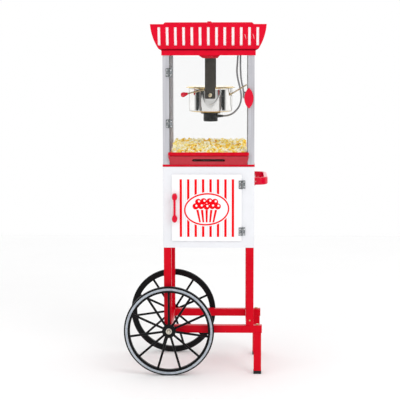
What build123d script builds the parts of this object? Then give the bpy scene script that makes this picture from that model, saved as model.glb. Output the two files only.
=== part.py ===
from build123d import *
import math
import os

os.makedirs("parts", exist_ok=True)

# A popcorn maker on a cart. Millimetres, +Z up, the front faces -Y.
# The origin is on the floor, in the middle of the whole cart's length and depth.

# Driving dimensions
CART_X = 42.8  # centreline of the cabinet and the popper
CABINET = 306.0  # width and depth of the square cabinet
HALF = CABINET / 2
SHEET = 2.0  # thickness of the cabinet's sheet
FOLD_R = 2.5  # outside radius of a folded corner
TUBE = 25.4  # square frame tube
TUBE_WALL = 1.5
LEG_X = 138.6  # leg centres, each side of the centreline
LEG_Y = 139.3
CABINET_BOTTOM = 434.3
CABINET_TOP = 707.0
POPPER_GAP = 1.0
POPPER_FLOOR = 715.0  # top of the popper's base plate
POPPER_TOP = 1077.5  # underside of the canopy
WHEEL_R = 152.4
WHEEL_Y = 173.0  # centre plane of each wheel
AXLE_R = 4.75
AXLE_X = CART_X - 134.0
AXLE_Z = WHEEL_R
AXLE_AXIS = Axis((AXLE_X, 0, AXLE_Z), (0, 1, 0))
RUNNING_FIT = 0.05  # radial clearance of a pin or shaft in its hole
SCREW_FIT = 0.1  # radial clearance of a bolt or nut

LOW = (Align.CENTER, Align.CENTER, Align.MIN)


# Cart frame: square steel tube

RAIL_Z = 154.4
RAIL_LEFT = CART_X - LEG_X + TUBE / 2
RAIL_RIGHT = CART_X + 178.3
RAIL_TOP = RAIL_Z + TUBE / 2
RAIL_BOTTOM = RAIL_Z - TUBE / 2
REST_LEG_X = CART_X + 164.9
FOOT_HEIGHT = 11.0
BOLT_R = 3.0
CAP_THICKNESS = 1.5
CORNER_R = 2.0  # outside radius of a tube's corners
BOLT_HEAD_R = 5.5
BOLT_HEAD = 4.0
BOLT_END = 2.0  # a bolt stands proud of the rail's underside
LEG_SCREW_Z = 185.0
LEG_SCREW_R = 2.5
LEG_SCREW_HEAD = 0.8
PAD_R = 10.0
PAD_PITCH = (210.0, 270.0)
PLUG_DEPTH = 12.0


def tube_section():
    RectangleRounded(TUBE, TUBE, CORNER_R)
    Rectangle(TUBE - 2 * TUBE_WALL, TUBE - 2 * TUBE_WALL, mode=Mode.SUBTRACT)


# The left legs run down past the axle, which goes through both of them.
with BuildPart() as left_legs:
    with BuildSketch(Plane.XY.offset(RAIL_BOTTOM)):
        with Locations((CART_X - LEG_X, -LEG_Y), (CART_X - LEG_X, LEG_Y)):
            tube_section()
    extrude(amount=CABINET_BOTTOM - RAIL_BOTTOM)
    with BuildSketch(Plane.XZ):
        with Locations((AXLE_X, AXLE_Z)):
            Circle(AXLE_R + SCREW_FIT)
    extrude(amount=HALF, both=True, mode=Mode.SUBTRACT)
left_legs.part.label = "left_legs"
export_step(left_legs.part, "parts/left_legs.step")

# The right legs stand on the rails.
with BuildPart() as right_legs:
    with BuildSketch(Plane.XY.offset(RAIL_TOP)):
        with Locations((CART_X + LEG_X, -LEG_Y), (CART_X + LEG_X, LEG_Y)):
            tube_section()
    extrude(amount=CABINET_BOTTOM - RAIL_TOP)
right_legs.part.label = "right_legs"
export_step(right_legs.part, "parts/right_legs.step")

with BuildPart() as side_rails:
    with BuildSketch(Plane.YZ.offset(RAIL_LEFT)):
        with Locations((-LEG_Y, RAIL_Z), (LEG_Y, RAIL_Z)):
            tube_section()
    extrude(amount=RAIL_RIGHT - RAIL_LEFT)
    with Locations((REST_LEG_X, -LEG_Y, RAIL_Z), (REST_LEG_X, LEG_Y, RAIL_Z)):
        Cylinder(BOLT_R + SCREW_FIT, TUBE, mode=Mode.SUBTRACT)
side_rails.part.label = "side_rails"
export_step(side_rails.part, "parts/side_rails.step")

# The cross tubes tie the two rails and, on the left, house the axle.
with BuildPart() as cross_tubes:
    with BuildSketch(Plane.XZ):
        with Locations((CART_X - LEG_X, RAIL_Z), (CART_X + LEG_X, RAIL_Z)):
            tube_section()
    extrude(amount=LEG_Y - TUBE / 2, both=True)
cross_tubes.part.label = "cross_tubes"
export_step(cross_tubes.part, "parts/cross_tubes.step")

with BuildPart() as rest_legs:
    with BuildSketch(Plane.XY.offset(FOOT_HEIGHT)):
        with Locations((REST_LEG_X, -LEG_Y), (REST_LEG_X, LEG_Y)):
            tube_section()
    extrude(amount=RAIL_BOTTOM - FOOT_HEIGHT)
rest_legs.part.label = "rest_legs"
export_step(rest_legs.part, "parts/rest_legs.step")

# Rubber feet: a square pad with a plug that goes up into each rest leg, and four
# round pads between the cabinet and the popper.
FOOT_WIDTH = TUBE + 1.0
PLUG_WIDTH = TUBE - 2 * TUBE_WALL - 0.4
with BuildPart() as rubber_feet:
    with BuildSketch():
        with Locations((REST_LEG_X, -LEG_Y), (REST_LEG_X, LEG_Y)):
            RectangleRounded(FOOT_WIDTH, FOOT_WIDTH, 2.5)
    extrude(amount=FOOT_HEIGHT)
    with BuildSketch(Plane.XY.offset(FOOT_HEIGHT)):
        with Locations((REST_LEG_X, -LEG_Y), (REST_LEG_X, LEG_Y)):
            Rectangle(PLUG_WIDTH, PLUG_WIDTH)
    extrude(amount=PLUG_DEPTH)
    with BuildSketch(Plane.XY.offset(CABINET_TOP)):
        with Locations((CART_X, 0)):
            with GridLocations(*PAD_PITCH, 2, 2):
                Circle(PAD_R)
    extrude(amount=POPPER_GAP)
rubber_feet.part.label = "rubber_feet"
export_step(rubber_feet.part, "parts/rubber_feet.step")

# Caps close the open right ends of the rails.
with BuildPart() as tube_caps:
    with BuildSketch(Plane.YZ.offset(RAIL_RIGHT)):
        with Locations((-LEG_Y, RAIL_Z), (LEG_Y, RAIL_Z)):
            RectangleRounded(TUBE, TUBE, CORNER_R)
    extrude(amount=CAP_THICKNESS)
tube_caps.part.label = "tube_caps"
export_step(tube_caps.part, "parts/tube_caps.step")

# Bolts hold the rails on the rest legs, and screws hold the right legs.
with BuildPart() as frame_bolts:
    with BuildSketch(Plane.XY.offset(RAIL_TOP)):
        with Locations((REST_LEG_X, -LEG_Y), (REST_LEG_X, LEG_Y)):
            RegularPolygon(BOLT_HEAD_R, 6)
    extrude(amount=BOLT_HEAD)
    with BuildSketch(Plane.XY.offset(RAIL_BOTTOM - BOLT_END)):
        with Locations((REST_LEG_X, -LEG_Y), (REST_LEG_X, LEG_Y)):
            Circle(BOLT_R)
    extrude(amount=TUBE + BOLT_END)
    for side in (-1, 1):
        face = Plane((CART_X + LEG_X, side * (LEG_Y + TUBE / 2), LEG_SCREW_Z), z_dir=(0, side, 0))
        with BuildSketch(face):
            Circle(LEG_SCREW_R)
        extrude(amount=LEG_SCREW_HEAD)
frame_bolts.part.label = "frame_bolts"
export_step(frame_bolts.part, "parts/frame_bolts.step")


# Axle and wheels

NUT_START = 181.1
NUT_HEX = 5.0
NUT_R = 8.0
DOME_R = 6.2
DOME = 4.0
WASHER_R = 10.0
WASHER = 1.6
LEG_FACE = LEG_Y + TUBE / 2

with BuildPart() as axle:
    with Locations(Location((AXLE_X, 0, AXLE_Z), (90, 0, 0))):
        Cylinder(AXLE_R, 2 * (NUT_START + NUT_HEX))
axle.part.label = "axle"
export_step(axle.part, "parts/axle.step")

# Each end of the axle has a washer inside the hub, one outside it, and an acorn nut.
with BuildPart() as axle_nuts:
    for side in (-1, 1):
        for start in (LEG_FACE, NUT_START - WASHER):
            with BuildSketch(Plane((AXLE_X, side * start, AXLE_Z), z_dir=(0, side, 0))):
                Circle(WASHER_R)
                Circle(AXLE_R + SCREW_FIT, mode=Mode.SUBTRACT)
            extrude(amount=WASHER)
        nut_base = Plane((AXLE_X, side * NUT_START, AXLE_Z), z_dir=(0, side, 0))
        with BuildSketch(nut_base):
            RegularPolygon(NUT_R, 6)
        extrude(amount=NUT_HEX)
        with BuildSketch(nut_base.offset(NUT_HEX)):
            Circle(DOME_R)
        extrude(amount=DOME, taper=25)
        with BuildSketch(nut_base):
            Circle(AXLE_R + SCREW_FIT)
        extrude(amount=NUT_HEX, mode=Mode.SUBTRACT)
axle_nuts.part.label = "axle_nuts"
export_step(axle_nuts.part, "parts/axle_nuts.step")

TYRE_WIDTH = 20.0
TYRE_INNER_R = 136.0
BAND_OUTER_R = 147.4
BAND_INNER_R = 139.4
BAND_DEPTH = 1.0
RIM_INNER_R = 131.9
RIM_WIDTH = 16.0
SPOKES = 11
SPOKE_R = 3.9
SPOKE_ROOT_R = 20.0  # a spoke starts inside the hub
SPOKE_GRIP = 0.6  # how far a spoke goes into the rim
HUB_R = 23.0
HUB_HALF = 6.5
BARREL_R = 12.0
BARREL_END = WHEEL_Y - LEG_FACE - WASHER - 0.4

for end, side in (("front", -1), ("rear", 1)):
    # local X is the radius and local Y points outboard
    section = Plane((AXLE_X, side * WHEEL_Y, AXLE_Z), x_dir=(1, 0, 0), z_dir=(0, 0, side))

    with BuildPart() as tyre:
        with BuildSketch(section):
            with Locations(((TYRE_INNER_R + WHEEL_R) / 2, 0)):
                Rectangle(WHEEL_R - TYRE_INNER_R, TYRE_WIDTH)
        revolve(axis=AXLE_AXIS)
        tread_edges = tyre.edges().filter_by(GeomType.CIRCLE).group_by(SortBy.RADIUS)[-1]
        fillet(tread_edges, radius=WHEEL_R - BAND_OUTER_R)
        with BuildSketch(section):
            with Locations(((BAND_INNER_R + BAND_OUTER_R) / 2, TYRE_WIDTH / 2)):
                Rectangle(BAND_OUTER_R - BAND_INNER_R, 2 * BAND_DEPTH)
        revolve(axis=AXLE_AXIS, mode=Mode.SUBTRACT)
    tyre.part.label = f"{end}_wheel_tyre"
    export_step(tyre.part, f"parts/{end}_wheel_tyre.step")

    # The pale band is let into the tyre's outer side.
    with BuildPart() as band:
        with BuildSketch(section):
            with Locations(((BAND_INNER_R + BAND_OUTER_R) / 2, TYRE_WIDTH / 2 - BAND_DEPTH / 4)):
                Rectangle(BAND_OUTER_R - BAND_INNER_R, 1.5 * BAND_DEPTH)
        revolve(axis=AXLE_AXIS)
    band.part.label = f"{end}_wheel_band"
    export_step(band.part, f"parts/{end}_wheel_band.step")

    with BuildPart() as rim:
        with BuildSketch(section):
            with Locations(((RIM_INNER_R + TYRE_INNER_R) / 2, 0)):
                Rectangle(TYRE_INNER_R - RIM_INNER_R, RIM_WIDTH)
        revolve(axis=AXLE_AXIS)
        inner_edges = rim.edges().filter_by(GeomType.CIRCLE).group_by(SortBy.RADIUS)[0]
        chamfer(inner_edges, length=1.5)
    rim.part.label = f"{end}_wheel_rim"
    export_step(rim.part, f"parts/{end}_wheel_rim.step")

    # Hub, barrel and spokes are welded into one piece.
    with BuildPart() as spider:
        with BuildSketch(section):
            with Locations((HUB_R / 2, 0)):
                Rectangle(HUB_R, 2 * HUB_HALF)
            with Locations((BARREL_R / 2, -(HUB_HALF + BARREL_END) / 2)):
                Rectangle(BARREL_R, BARREL_END - HUB_HALF)
        revolve(axis=AXLE_AXIS)
        for spoke in range(SPOKES):
            angle = math.radians(90 + spoke * 360 / SPOKES)
            outward = Vector(math.cos(angle), 0, math.sin(angle))
            root = Vector(AXLE_X, side * WHEEL_Y, AXLE_Z) + outward * SPOKE_ROOT_R
            with BuildSketch(Plane(root, z_dir=outward)):
                Circle(SPOKE_R)
            extrude(amount=RIM_INNER_R + SPOKE_GRIP - SPOKE_ROOT_R)
        with Locations(Location((AXLE_X, side * WHEEL_Y, AXLE_Z), (90, 0, 0))):
            Cylinder(AXLE_R + RUNNING_FIT, 3 * TUBE, mode=Mode.SUBTRACT)
    spider.part.label = f"{end}_wheel_spider"
    export_step(spider.part, f"parts/{end}_wheel_spider.step")


# Lower cabinet: folded white sheet, open in front behind the door

CABINET_HEIGHT = CABINET_TOP - CABINET_BOTTOM
DOOR_X = CART_X - 6.5
DOOR_WIDTH = 235.0
DOOR_EDGE_R = 1.5
DOOR_FLANGE = 4.0
DOOR_HOLLOW = 3.0
DOOR_LOW = 457.0
DOOR_HIGH = 682.5
DOOR_Z = (DOOR_LOW + DOOR_HIGH) / 2
DOOR_BACK = HALF + 0.5
DOOR_FACE = DOOR_BACK + 5.0
DOOR_LAP = 10.0

with BuildPart() as cabinet_shell:
    with Locations((CART_X, 0, CABINET_BOTTOM)):
        Box(CABINET, CABINET, CABINET_HEIGHT, align=LOW)
    fillet(cabinet_shell.edges().filter_by(Axis.Z), radius=FOLD_R)
    with Locations((CART_X, 0, CABINET_BOTTOM)):
        Box(CABINET - 2 * SHEET, CABINET - 2 * SHEET, CABINET_HEIGHT - SHEET, align=LOW, mode=Mode.SUBTRACT)
    with Locations((DOOR_X, -HALF, DOOR_Z)):
        Box(DOOR_WIDTH - 2 * DOOR_LAP, 10, DOOR_HIGH - DOOR_LOW - 2 * DOOR_LAP, mode=Mode.SUBTRACT)
cabinet_shell.part.label = "cabinet_shell"
export_step(cabinet_shell.part, "parts/cabinet_shell.step")

with BuildPart() as cabinet_floor:
    with Locations((CART_X, 0, CABINET_BOTTOM)):
        Box(CABINET - 2 * SHEET, CABINET - 2 * SHEET, SHEET, align=LOW)
cabinet_floor.part.label = "cabinet_floor"
export_step(cabinet_floor.part, "parts/cabinet_floor.step")

# The door is a shallow pan that laps over the opening.
with BuildPart() as cabinet_door:
    with BuildSketch(Plane.XZ.offset(DOOR_BACK)):
        with Locations((DOOR_X, DOOR_Z)):
            RectangleRounded(DOOR_WIDTH, DOOR_HIGH - DOOR_LOW, 4)
    extrude(amount=DOOR_FACE - DOOR_BACK)
    fillet(cabinet_door.faces().sort_by(Axis.Y)[0].edges(), radius=DOOR_EDGE_R)
    with BuildSketch(Plane.XZ.offset(DOOR_BACK)):
        with Locations((DOOR_X, DOOR_Z)):
            Rectangle(DOOR_WIDTH - 2 * DOOR_FLANGE, DOOR_HIGH - DOOR_LOW - 2 * DOOR_FLANGE)
    extrude(amount=DOOR_HOLLOW, mode=Mode.SUBTRACT)
cabinet_door.part.label = "cabinet_door"
export_step(cabinet_door.part, "parts/cabinet_door.step")

# Red vinyl transfer on the door: stripes, an oval ring, and a bucket of popcorn
STRIPES = 8
STRIPE_FIRST = CART_X - 93.0
STRIPE_PITCH = 24.9
STRIPE_LOW = 471.8
STRIPE_HIGH = 666.0
OVAL = Location((CART_X - 6.5, 565.0), 4)
OVAL_A = 76.0
OVAL_B = 54.5
OVAL_LINE = 5.0
STRIPE_WIDTH = 8.0
OVAL_MARGIN = 3.0
BUCKET_BARS = 5
BUCKET_TOP = (70.0, 563.0)  # width and height above the floor
BUCKET_FOOT = (50.0, 521.0)
FLAKES = (
    *((-37, 575), (-19, 576), (0, 574), (19, 576), (37, 575)),
    *((-28, 590), (-10, 592), (10, 592), (28, 590)),
)
FLAKE_R = 10.5
VINYL = 0.3
FLAKE_EYE = (2.5, 2.0, 3.6)  # the white centre's place in the flake, and its radius

with BuildPart() as door_transfer:
    with BuildSketch(Plane.XZ.offset(DOOR_FACE)):
        for stripe in range(STRIPES):
            with Locations((STRIPE_FIRST + stripe * STRIPE_PITCH, (STRIPE_LOW + STRIPE_HIGH) / 2)):
                Rectangle(STRIPE_WIDTH, STRIPE_HIGH - STRIPE_LOW)
        with Locations(OVAL):
            Ellipse(OVAL_A + OVAL_MARGIN, OVAL_B + OVAL_MARGIN, mode=Mode.SUBTRACT)
            Ellipse(OVAL_A, OVAL_B)
            Ellipse(OVAL_A - OVAL_LINE, OVAL_B - OVAL_LINE, mode=Mode.SUBTRACT)
        for bar in range(BUCKET_BARS):
            left = (2 * bar) / (2 * BUCKET_BARS - 1) - 0.5
            right = (2 * bar + 1) / (2 * BUCKET_BARS - 1) - 0.5
            with BuildLine():
                Polyline(
                    (DOOR_X + left * BUCKET_TOP[0], BUCKET_TOP[1]),
                    (DOOR_X + right * BUCKET_TOP[0], BUCKET_TOP[1]),
                    (DOOR_X + right * BUCKET_FOOT[0], BUCKET_FOOT[1]),
                    (DOOR_X + left * BUCKET_FOOT[0], BUCKET_FOOT[1]),
                    close=True,
                )
            make_face()
        for flake_x, flake_z in FLAKES:
            with Locations((DOOR_X + flake_x, flake_z)):
                Circle(FLAKE_R)
        for flake_x, flake_z in FLAKES:
            with Locations((DOOR_X + flake_x + FLAKE_EYE[0], flake_z + FLAKE_EYE[1])):
                Circle(FLAKE_EYE[2], mode=Mode.SUBTRACT)
    extrude(amount=VINYL)
door_transfer.part.label = "door_transfer"
export_step(door_transfer.part, "parts/door_transfer.step")

# Door handle: two round feet and a bar between them
HANDLE_X = CART_X - 113.5
HANDLE_LOW = 521.7
HANDLE_HIGH = 619.6
HANDLE_FOOT = 12.0  # half the height of a foot
HANDLE_FOOT_HALF = 9.0
HANDLE_DEPTH = 19.0
HANDLE_EDGE_R = 5.0
BAR_WIDTH = 7.5
BAR_START = 10.0
BAR_THICKNESS = 6.0

with BuildPart() as door_handle:
    with BuildSketch(Plane.XZ.offset(DOOR_FACE)):
        with Locations((HANDLE_X, HANDLE_LOW + HANDLE_FOOT), (HANDLE_X, HANDLE_HIGH - HANDLE_FOOT)):
            Ellipse(HANDLE_FOOT_HALF, HANDLE_FOOT)
    extrude(amount=HANDLE_DEPTH)
    fillet(door_handle.faces().group_by(Axis.Y)[0].edges(), radius=HANDLE_EDGE_R)
    with BuildSketch(Plane.XZ.offset(DOOR_FACE + BAR_START)):
        with Locations((HANDLE_X, (HANDLE_LOW + HANDLE_HIGH) / 2)):
            Rectangle(BAR_WIDTH, HANDLE_HIGH - HANDLE_LOW - 2 * HANDLE_FOOT)
    extrude(amount=BAR_THICKNESS)
door_handle.part.label = "door_handle"
export_step(door_handle.part, "parts/door_handle.step")

# Magnet behind the front wall, which holds the steel door shut
CATCH_X = CART_X - 108.0
CATCH = (30.0, 12.0, 40.0)
POLE_SHIFT = 3.0
POLE = (10.0, SHEET, 30.0)

with BuildPart() as magnetic_catch:
    with Locations((CATCH_X, -HALF + SHEET + CATCH[1] / 2, DOOR_Z)):
        Box(*CATCH)
    with Locations((CATCH_X + POLE_SHIFT, -HALF + SHEET / 2, DOOR_Z)):
        Box(*POLE)
magnetic_catch.part.label = "magnetic_catch"
export_step(magnetic_catch.part, "parts/magnetic_catch.step")


# Butt hinges, the same for the cabinet's door and the popper's door

LEAF = 1.2
LEAF_HEIGHT = 28.0
LEAF_WIDTH = 11.0
KNUCKLE = 3.0  # from the pin to the flat of a leaf
PIN_HEAD = 0.8
KNUCKLE_R = 2.4
PIN_R = 1.2
PIN_STANDOFF = 2.9  # from the door's face to the pin
MIDDLE_KNUCKLE = ((9.6, 18.4),)
END_KNUCKLES = ((0, 9.0), (19.0, LEAF_HEIGHT))


def hinge_leaf(pin_x, pin_y, face_y, side, low, knuckles):
    """One leaf on the face at face_y, to the left (-1) or right (+1) of its pin."""
    with Locations((pin_x + side * (KNUCKLE + LEAF_WIDTH) / 2, face_y - LEAF / 2, low + LEAF_HEIGHT / 2)):
        Box(LEAF_WIDTH - KNUCKLE, LEAF, LEAF_HEIGHT)
    for knuckle_low, knuckle_high in knuckles:
        height = knuckle_high - knuckle_low
        middle = low + (knuckle_low + knuckle_high) / 2
        with Locations((pin_x + side * 2.6, face_y - LEAF / 2, middle)):
            Box(2.8, LEAF, height)
        with Locations((pin_x + side * 1.8, (pin_y + face_y) / 2, middle)):
            Box(1.2, face_y - pin_y, height)
        with Locations((pin_x, pin_y, middle)):
            Cylinder(KNUCKLE_R, height)
    with Locations((pin_x, pin_y, low + LEAF_HEIGHT / 2)):
        Cylinder(PIN_R + RUNNING_FIT, 2 * LEAF_HEIGHT, mode=Mode.SUBTRACT)


def hinge_pins(pin_x, pin_y, lows):
    for low in lows:
        with Locations((pin_x, pin_y, low - PIN_HEAD)):
            Cylinder(PIN_R, LEAF_HEIGHT + 2 * PIN_HEAD, align=LOW)


DOOR_HINGE_LOWS = (476.0, 634.0)
DOOR_PIN_X = CART_X + 111.6
DOOR_PIN_Y = -DOOR_FACE - PIN_STANDOFF

with BuildPart() as cabinet_hinge_leaves:
    for low in DOOR_HINGE_LOWS:
        hinge_leaf(DOOR_PIN_X, DOOR_PIN_Y, -HALF, 1, low, END_KNUCKLES)
    hinge_pins(DOOR_PIN_X, DOOR_PIN_Y, DOOR_HINGE_LOWS)
cabinet_hinge_leaves.part.label = "cabinet_hinge_leaves"
export_step(cabinet_hinge_leaves.part, "parts/cabinet_hinge_leaves.step")

with BuildPart() as door_hinge_leaves:
    for low in DOOR_HINGE_LOWS:
        hinge_leaf(DOOR_PIN_X, DOOR_PIN_Y, -DOOR_FACE, -1, low, MIDDLE_KNUCKLE)
door_hinge_leaves.part.label = "door_hinge_leaves"
export_step(door_hinge_leaves.part, "parts/door_hinge_leaves.step")

# Push handle: a moulded loop on the cabinet's right side
PUSH_Z = 654.0
PUSH_HALF = 97.0
PUSH_FOOT = CART_X + HALF
PUSH_TIP = CART_X + 199.6
PUSH_THICK = 14.0
PUSH_HEIGHT = 26.0
PUSH_BAR = PUSH_TIP - PUSH_THICK / 2

with BuildPart() as push_handle:
    with BuildLine(Plane.XY.offset(PUSH_Z)):
        FilletPolyline(
            (PUSH_FOOT, -PUSH_HALF),
            (PUSH_BAR, -PUSH_HALF),
            (PUSH_BAR, PUSH_HALF),
            (PUSH_FOOT, PUSH_HALF),
            radius=26,
        )
    with BuildSketch(Plane((PUSH_FOOT, -PUSH_HALF, PUSH_Z), x_dir=(0, 1, 0), z_dir=(1, 0, 0))):
        RectangleRounded(PUSH_THICK, PUSH_HEIGHT, 6)
    sweep()
    with BuildSketch(Plane.YZ.offset(PUSH_FOOT)):
        with Locations((-PUSH_HALF, PUSH_Z), (PUSH_HALF, PUSH_Z)):
            RectangleRounded(34, PUSH_HEIGHT + 2, 6)
    extrude(amount=4)
push_handle.part.label = "push_handle"
export_step(push_handle.part, "parts/push_handle.step")

with BuildPart() as push_handle_screws:
    for end in (-1, 1):
        for side in (-1, 1):
            with BuildSketch(Plane.YZ.offset(PUSH_FOOT + 4)):
                with Locations((end * PUSH_HALF + side * 12, PUSH_Z)):
                    Circle(3)
            extrude(amount=2, taper=20)
push_handle_screws.part.label = "push_handle_screws"
export_step(push_handle_screws.part, "parts/push_handle_screws.step")


# Popper base, posts and panes

POST_HALF = HALF - 0.5
POST_WIDTH = 22.0
POST_SHEET = 2.5
FLANGE_MIDDLE = POST_HALF - POST_WIDTH / 2
SHEET_MIDDLE = POST_HALF - POST_SHEET / 2
PANE = 3.0
PANE_X = POST_HALF - POST_SHEET
POPPER_HEIGHT = POPPER_TOP - POPPER_FLOOR

with BuildPart() as popper_base:
    with Locations((CART_X, 0, CABINET_TOP + POPPER_GAP)):
        Box(CABINET + 2, CABINET, POPPER_FLOOR - CABINET_TOP - POPPER_GAP, align=LOW)
    fillet(popper_base.edges().filter_by(Axis.Z), radius=3)
    fillet(popper_base.edges().group_by(Axis.Z)[-1], radius=1.2)
popper_base.part.label = "popper_base"
export_step(popper_base.part, "parts/popper_base.step")

# Four aluminium angles
with BuildPart() as corner_posts:
    with BuildSketch(Plane.XY.offset(POPPER_FLOOR)):
        for x in (-1, 1):
            for y in (-1, 1):
                with Locations((CART_X + x * FLANGE_MIDDLE, y * SHEET_MIDDLE)):
                    Rectangle(POST_WIDTH, POST_SHEET)
                with Locations((CART_X + x * SHEET_MIDDLE, y * FLANGE_MIDDLE)):
                    Rectangle(POST_SHEET, POST_WIDTH)
    extrude(amount=POPPER_HEIGHT)
corner_posts.part.label = "corner_posts"
export_step(corner_posts.part, "parts/corner_posts.step")

with BuildPart() as fixed_panes:
    with BuildSketch(Plane.XY.offset(POPPER_FLOOR)):
        with Locations((CART_X - PANE_X + PANE / 2, 0), (CART_X + PANE_X - PANE / 2, 0)):
            Rectangle(PANE, 2 * PANE_X)
        with Locations((CART_X, PANE_X - PANE / 2)):
            Rectangle(2 * PANE_X - 2 * PANE - 0.2, PANE)
    extrude(amount=POPPER_HEIGHT)
fixed_panes.part.label = "fixed_panes"
export_step(fixed_panes.part, "parts/fixed_panes.step")

# Clear door over the front, hinged on the left post
PANE_DOOR_LEFT = CART_X - 130.4
PANE_DOOR_RIGHT = CART_X + 140.0
PANE_DOOR_LOW = 757.5
PANE_DOOR_HIGH = 1074.5
PANE_DOOR_BACK = POST_HALF + 0.7
PANE_DOOR_FACE = PANE_DOOR_BACK + PANE
PANE_PIN_X = CART_X - 131.0
PANE_PIN_Y = -PANE_DOOR_FACE - PIN_STANDOFF
PANE_HINGE_LOWS = (837.5, 1007.0)

with BuildPart() as front_pane:
    with BuildSketch(Plane.XZ.offset(PANE_DOOR_BACK)):
        with Locations(((PANE_DOOR_LEFT + PANE_DOOR_RIGHT) / 2, (PANE_DOOR_LOW + PANE_DOOR_HIGH) / 2)):
            RectangleRounded(PANE_DOOR_RIGHT - PANE_DOOR_LEFT, PANE_DOOR_HIGH - PANE_DOOR_LOW, 3)
    extrude(amount=PANE)
front_pane.part.label = "front_pane"
export_step(front_pane.part, "parts/front_pane.step")

with BuildPart() as post_hinge_leaves:
    for low in PANE_HINGE_LOWS:
        hinge_leaf(PANE_PIN_X, PANE_PIN_Y, -POST_HALF, -1, low, END_KNUCKLES)
    hinge_pins(PANE_PIN_X, PANE_PIN_Y, PANE_HINGE_LOWS)
post_hinge_leaves.part.label = "post_hinge_leaves"
export_step(post_hinge_leaves.part, "parts/post_hinge_leaves.step")

with BuildPart() as pane_hinge_leaves:
    for low in PANE_HINGE_LOWS:
        hinge_leaf(PANE_PIN_X, PANE_PIN_Y, -PANE_DOOR_FACE, 1, low, MIDDLE_KNUCKLE)
pane_hinge_leaves.part.label = "pane_hinge_leaves"
export_step(pane_hinge_leaves.part, "parts/pane_hinge_leaves.step")

# Lens-shaped handle on the clear door
LENS_X = CART_X + 133.8
LENS_Z = 936.5
LENS_HALF_WIDTH = 15.5
LENS_HALF_HEIGHT = 34.5
LENS_DEPTH = 10.0

with BuildPart() as pane_handle:
    with BuildSketch(Plane.XZ.offset(PANE_DOOR_FACE)):
        with BuildLine():
            for side in (-1, 1):
                ThreePointArc(
                    (LENS_X, LENS_Z - LENS_HALF_HEIGHT),
                    (LENS_X + side * LENS_HALF_WIDTH, LENS_Z),
                    (LENS_X, LENS_Z + LENS_HALF_HEIGHT),
                )
        make_face()
    extrude(amount=LENS_DEPTH)
    fillet(pane_handle.faces().sort_by(Axis.Y)[0].edges(), radius=3)
pane_handle.part.label = "pane_handle"
export_step(pane_handle.part, "parts/pane_handle.step")


# Popcorn deck, the heap on it, and the kernel drawer under it

DECK_HALF = 128.5
DECK_SHEET = 1.5
DECK_FRONT = -149.5
DECK_BACK = 146.5
DECK_Z = 742.0
DECK_SIDE_TOP = 757.0
DECK_BACK_TOP = 767.0
LIP_TOP = 755.5
LIP_HALF = 134.5
LIP_NOSE = -161.0
KERNEL_HOLE_R = 4.0
KERNEL_HOLE_PITCH = 36.0
KERNEL_HOLE_ROWS = 7

# The deck is a folded red sheet: two sides that stand on the base, a floor between
# them with holes for loose kernels, a back, and a lip that leans out in front.
with BuildPart() as popcorn_deck:
    with BuildSketch(Plane.XZ.offset(-DECK_FRONT)):
        with Locations((CART_X, DECK_Z + DECK_SHEET / 2)):
            Rectangle(2 * DECK_HALF, DECK_SHEET)
        for side in (-1, 1):
            wall_x = CART_X + side * (DECK_HALF - DECK_SHEET / 2)
            with Locations((wall_x, (POPPER_FLOOR + DECK_SIDE_TOP) / 2)):
                Rectangle(DECK_SHEET, DECK_SIDE_TOP - POPPER_FLOOR)
    extrude(amount=DECK_FRONT - DECK_BACK)
    with Locations((CART_X, DECK_BACK - DECK_SHEET / 2, DECK_Z)):
        Box(2 * DECK_HALF, DECK_SHEET, DECK_BACK_TOP - DECK_Z, align=LOW)
    with BuildSketch(Plane.YZ.offset(CART_X)):
        with BuildLine():
            Polyline(
                (DECK_FRONT, DECK_Z),
                (DECK_FRONT, LIP_TOP),
                (-POST_HALF - 0.4, LIP_TOP),
                (-POST_HALF - 0.4, DECK_Z),
                close=True,
            )
        make_face()
    extrude(amount=DECK_HALF, both=True)
    with BuildSketch(Plane.YZ.offset(CART_X)):
        with BuildLine():
            Polyline(
                (-POST_HALF - 0.4, LIP_TOP),
                (LIP_NOSE, LIP_TOP - 9.5),
                (LIP_NOSE, LIP_TOP - 10.5),
                (-POST_HALF - 0.4, LIP_TOP - 10.5),
                close=True,
            )
        make_face()
    extrude(amount=LIP_HALF, both=True)
    with Locations((CART_X, 0, DECK_Z)):
        with GridLocations(KERNEL_HOLE_PITCH, KERNEL_HOLE_PITCH, KERNEL_HOLE_ROWS, KERNEL_HOLE_ROWS):
            Cylinder(KERNEL_HOLE_R, 4 * DECK_SHEET, mode=Mode.SUBTRACT)
popcorn_deck.part.label = "popcorn_deck"
export_step(popcorn_deck.part, "parts/popcorn_deck.step")

# The popcorn lies on the deck and banks up towards the back.
HEAP_FRONT = DECK_FRONT + 1.0
HEAP_BACK = DECK_BACK - 2.0
HEAP_HALF = DECK_HALF - 2.0
HEAP_TOP = ((HEAP_FRONT, 746.0), (-120.0, 754.0), (-20.0, 763.0), (HEAP_BACK, 770.0))

with BuildPart() as popcorn_heap:
    with BuildSketch(Plane.YZ.offset(CART_X)):
        with BuildLine():
            Polyline(
                (HEAP_FRONT, DECK_Z + DECK_SHEET),
                *HEAP_TOP,
                (HEAP_BACK, DECK_Z + DECK_SHEET),
                close=True,
            )
        make_face()
    extrude(amount=HEAP_HALF, both=True)
popcorn_heap.part.label = "popcorn_heap"
export_step(popcorn_heap.part, "parts/popcorn_heap.step")

DRAWER_HALF = 126.0
DRAWER_SHEET = 1.5
DRAWER_LOW = POPPER_FLOOR + 0.5
DRAWER_TOP = 738.0
DRAWER_FRONT = -POST_HALF - 1.2
DRAWER_BACK = 132.0
FASCIA_LOW_HALF = 127.5
FASCIA_TOP_HALF = 134.5
FASCIA_LEAN = 10.0
FASCIA_RISE = 28.0
FASCIA_LENGTH = math.hypot(FASCIA_LEAN, FASCIA_RISE)
GRIP_WIDTH = 109.0
GRIP_HEIGHT = 9.0

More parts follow.
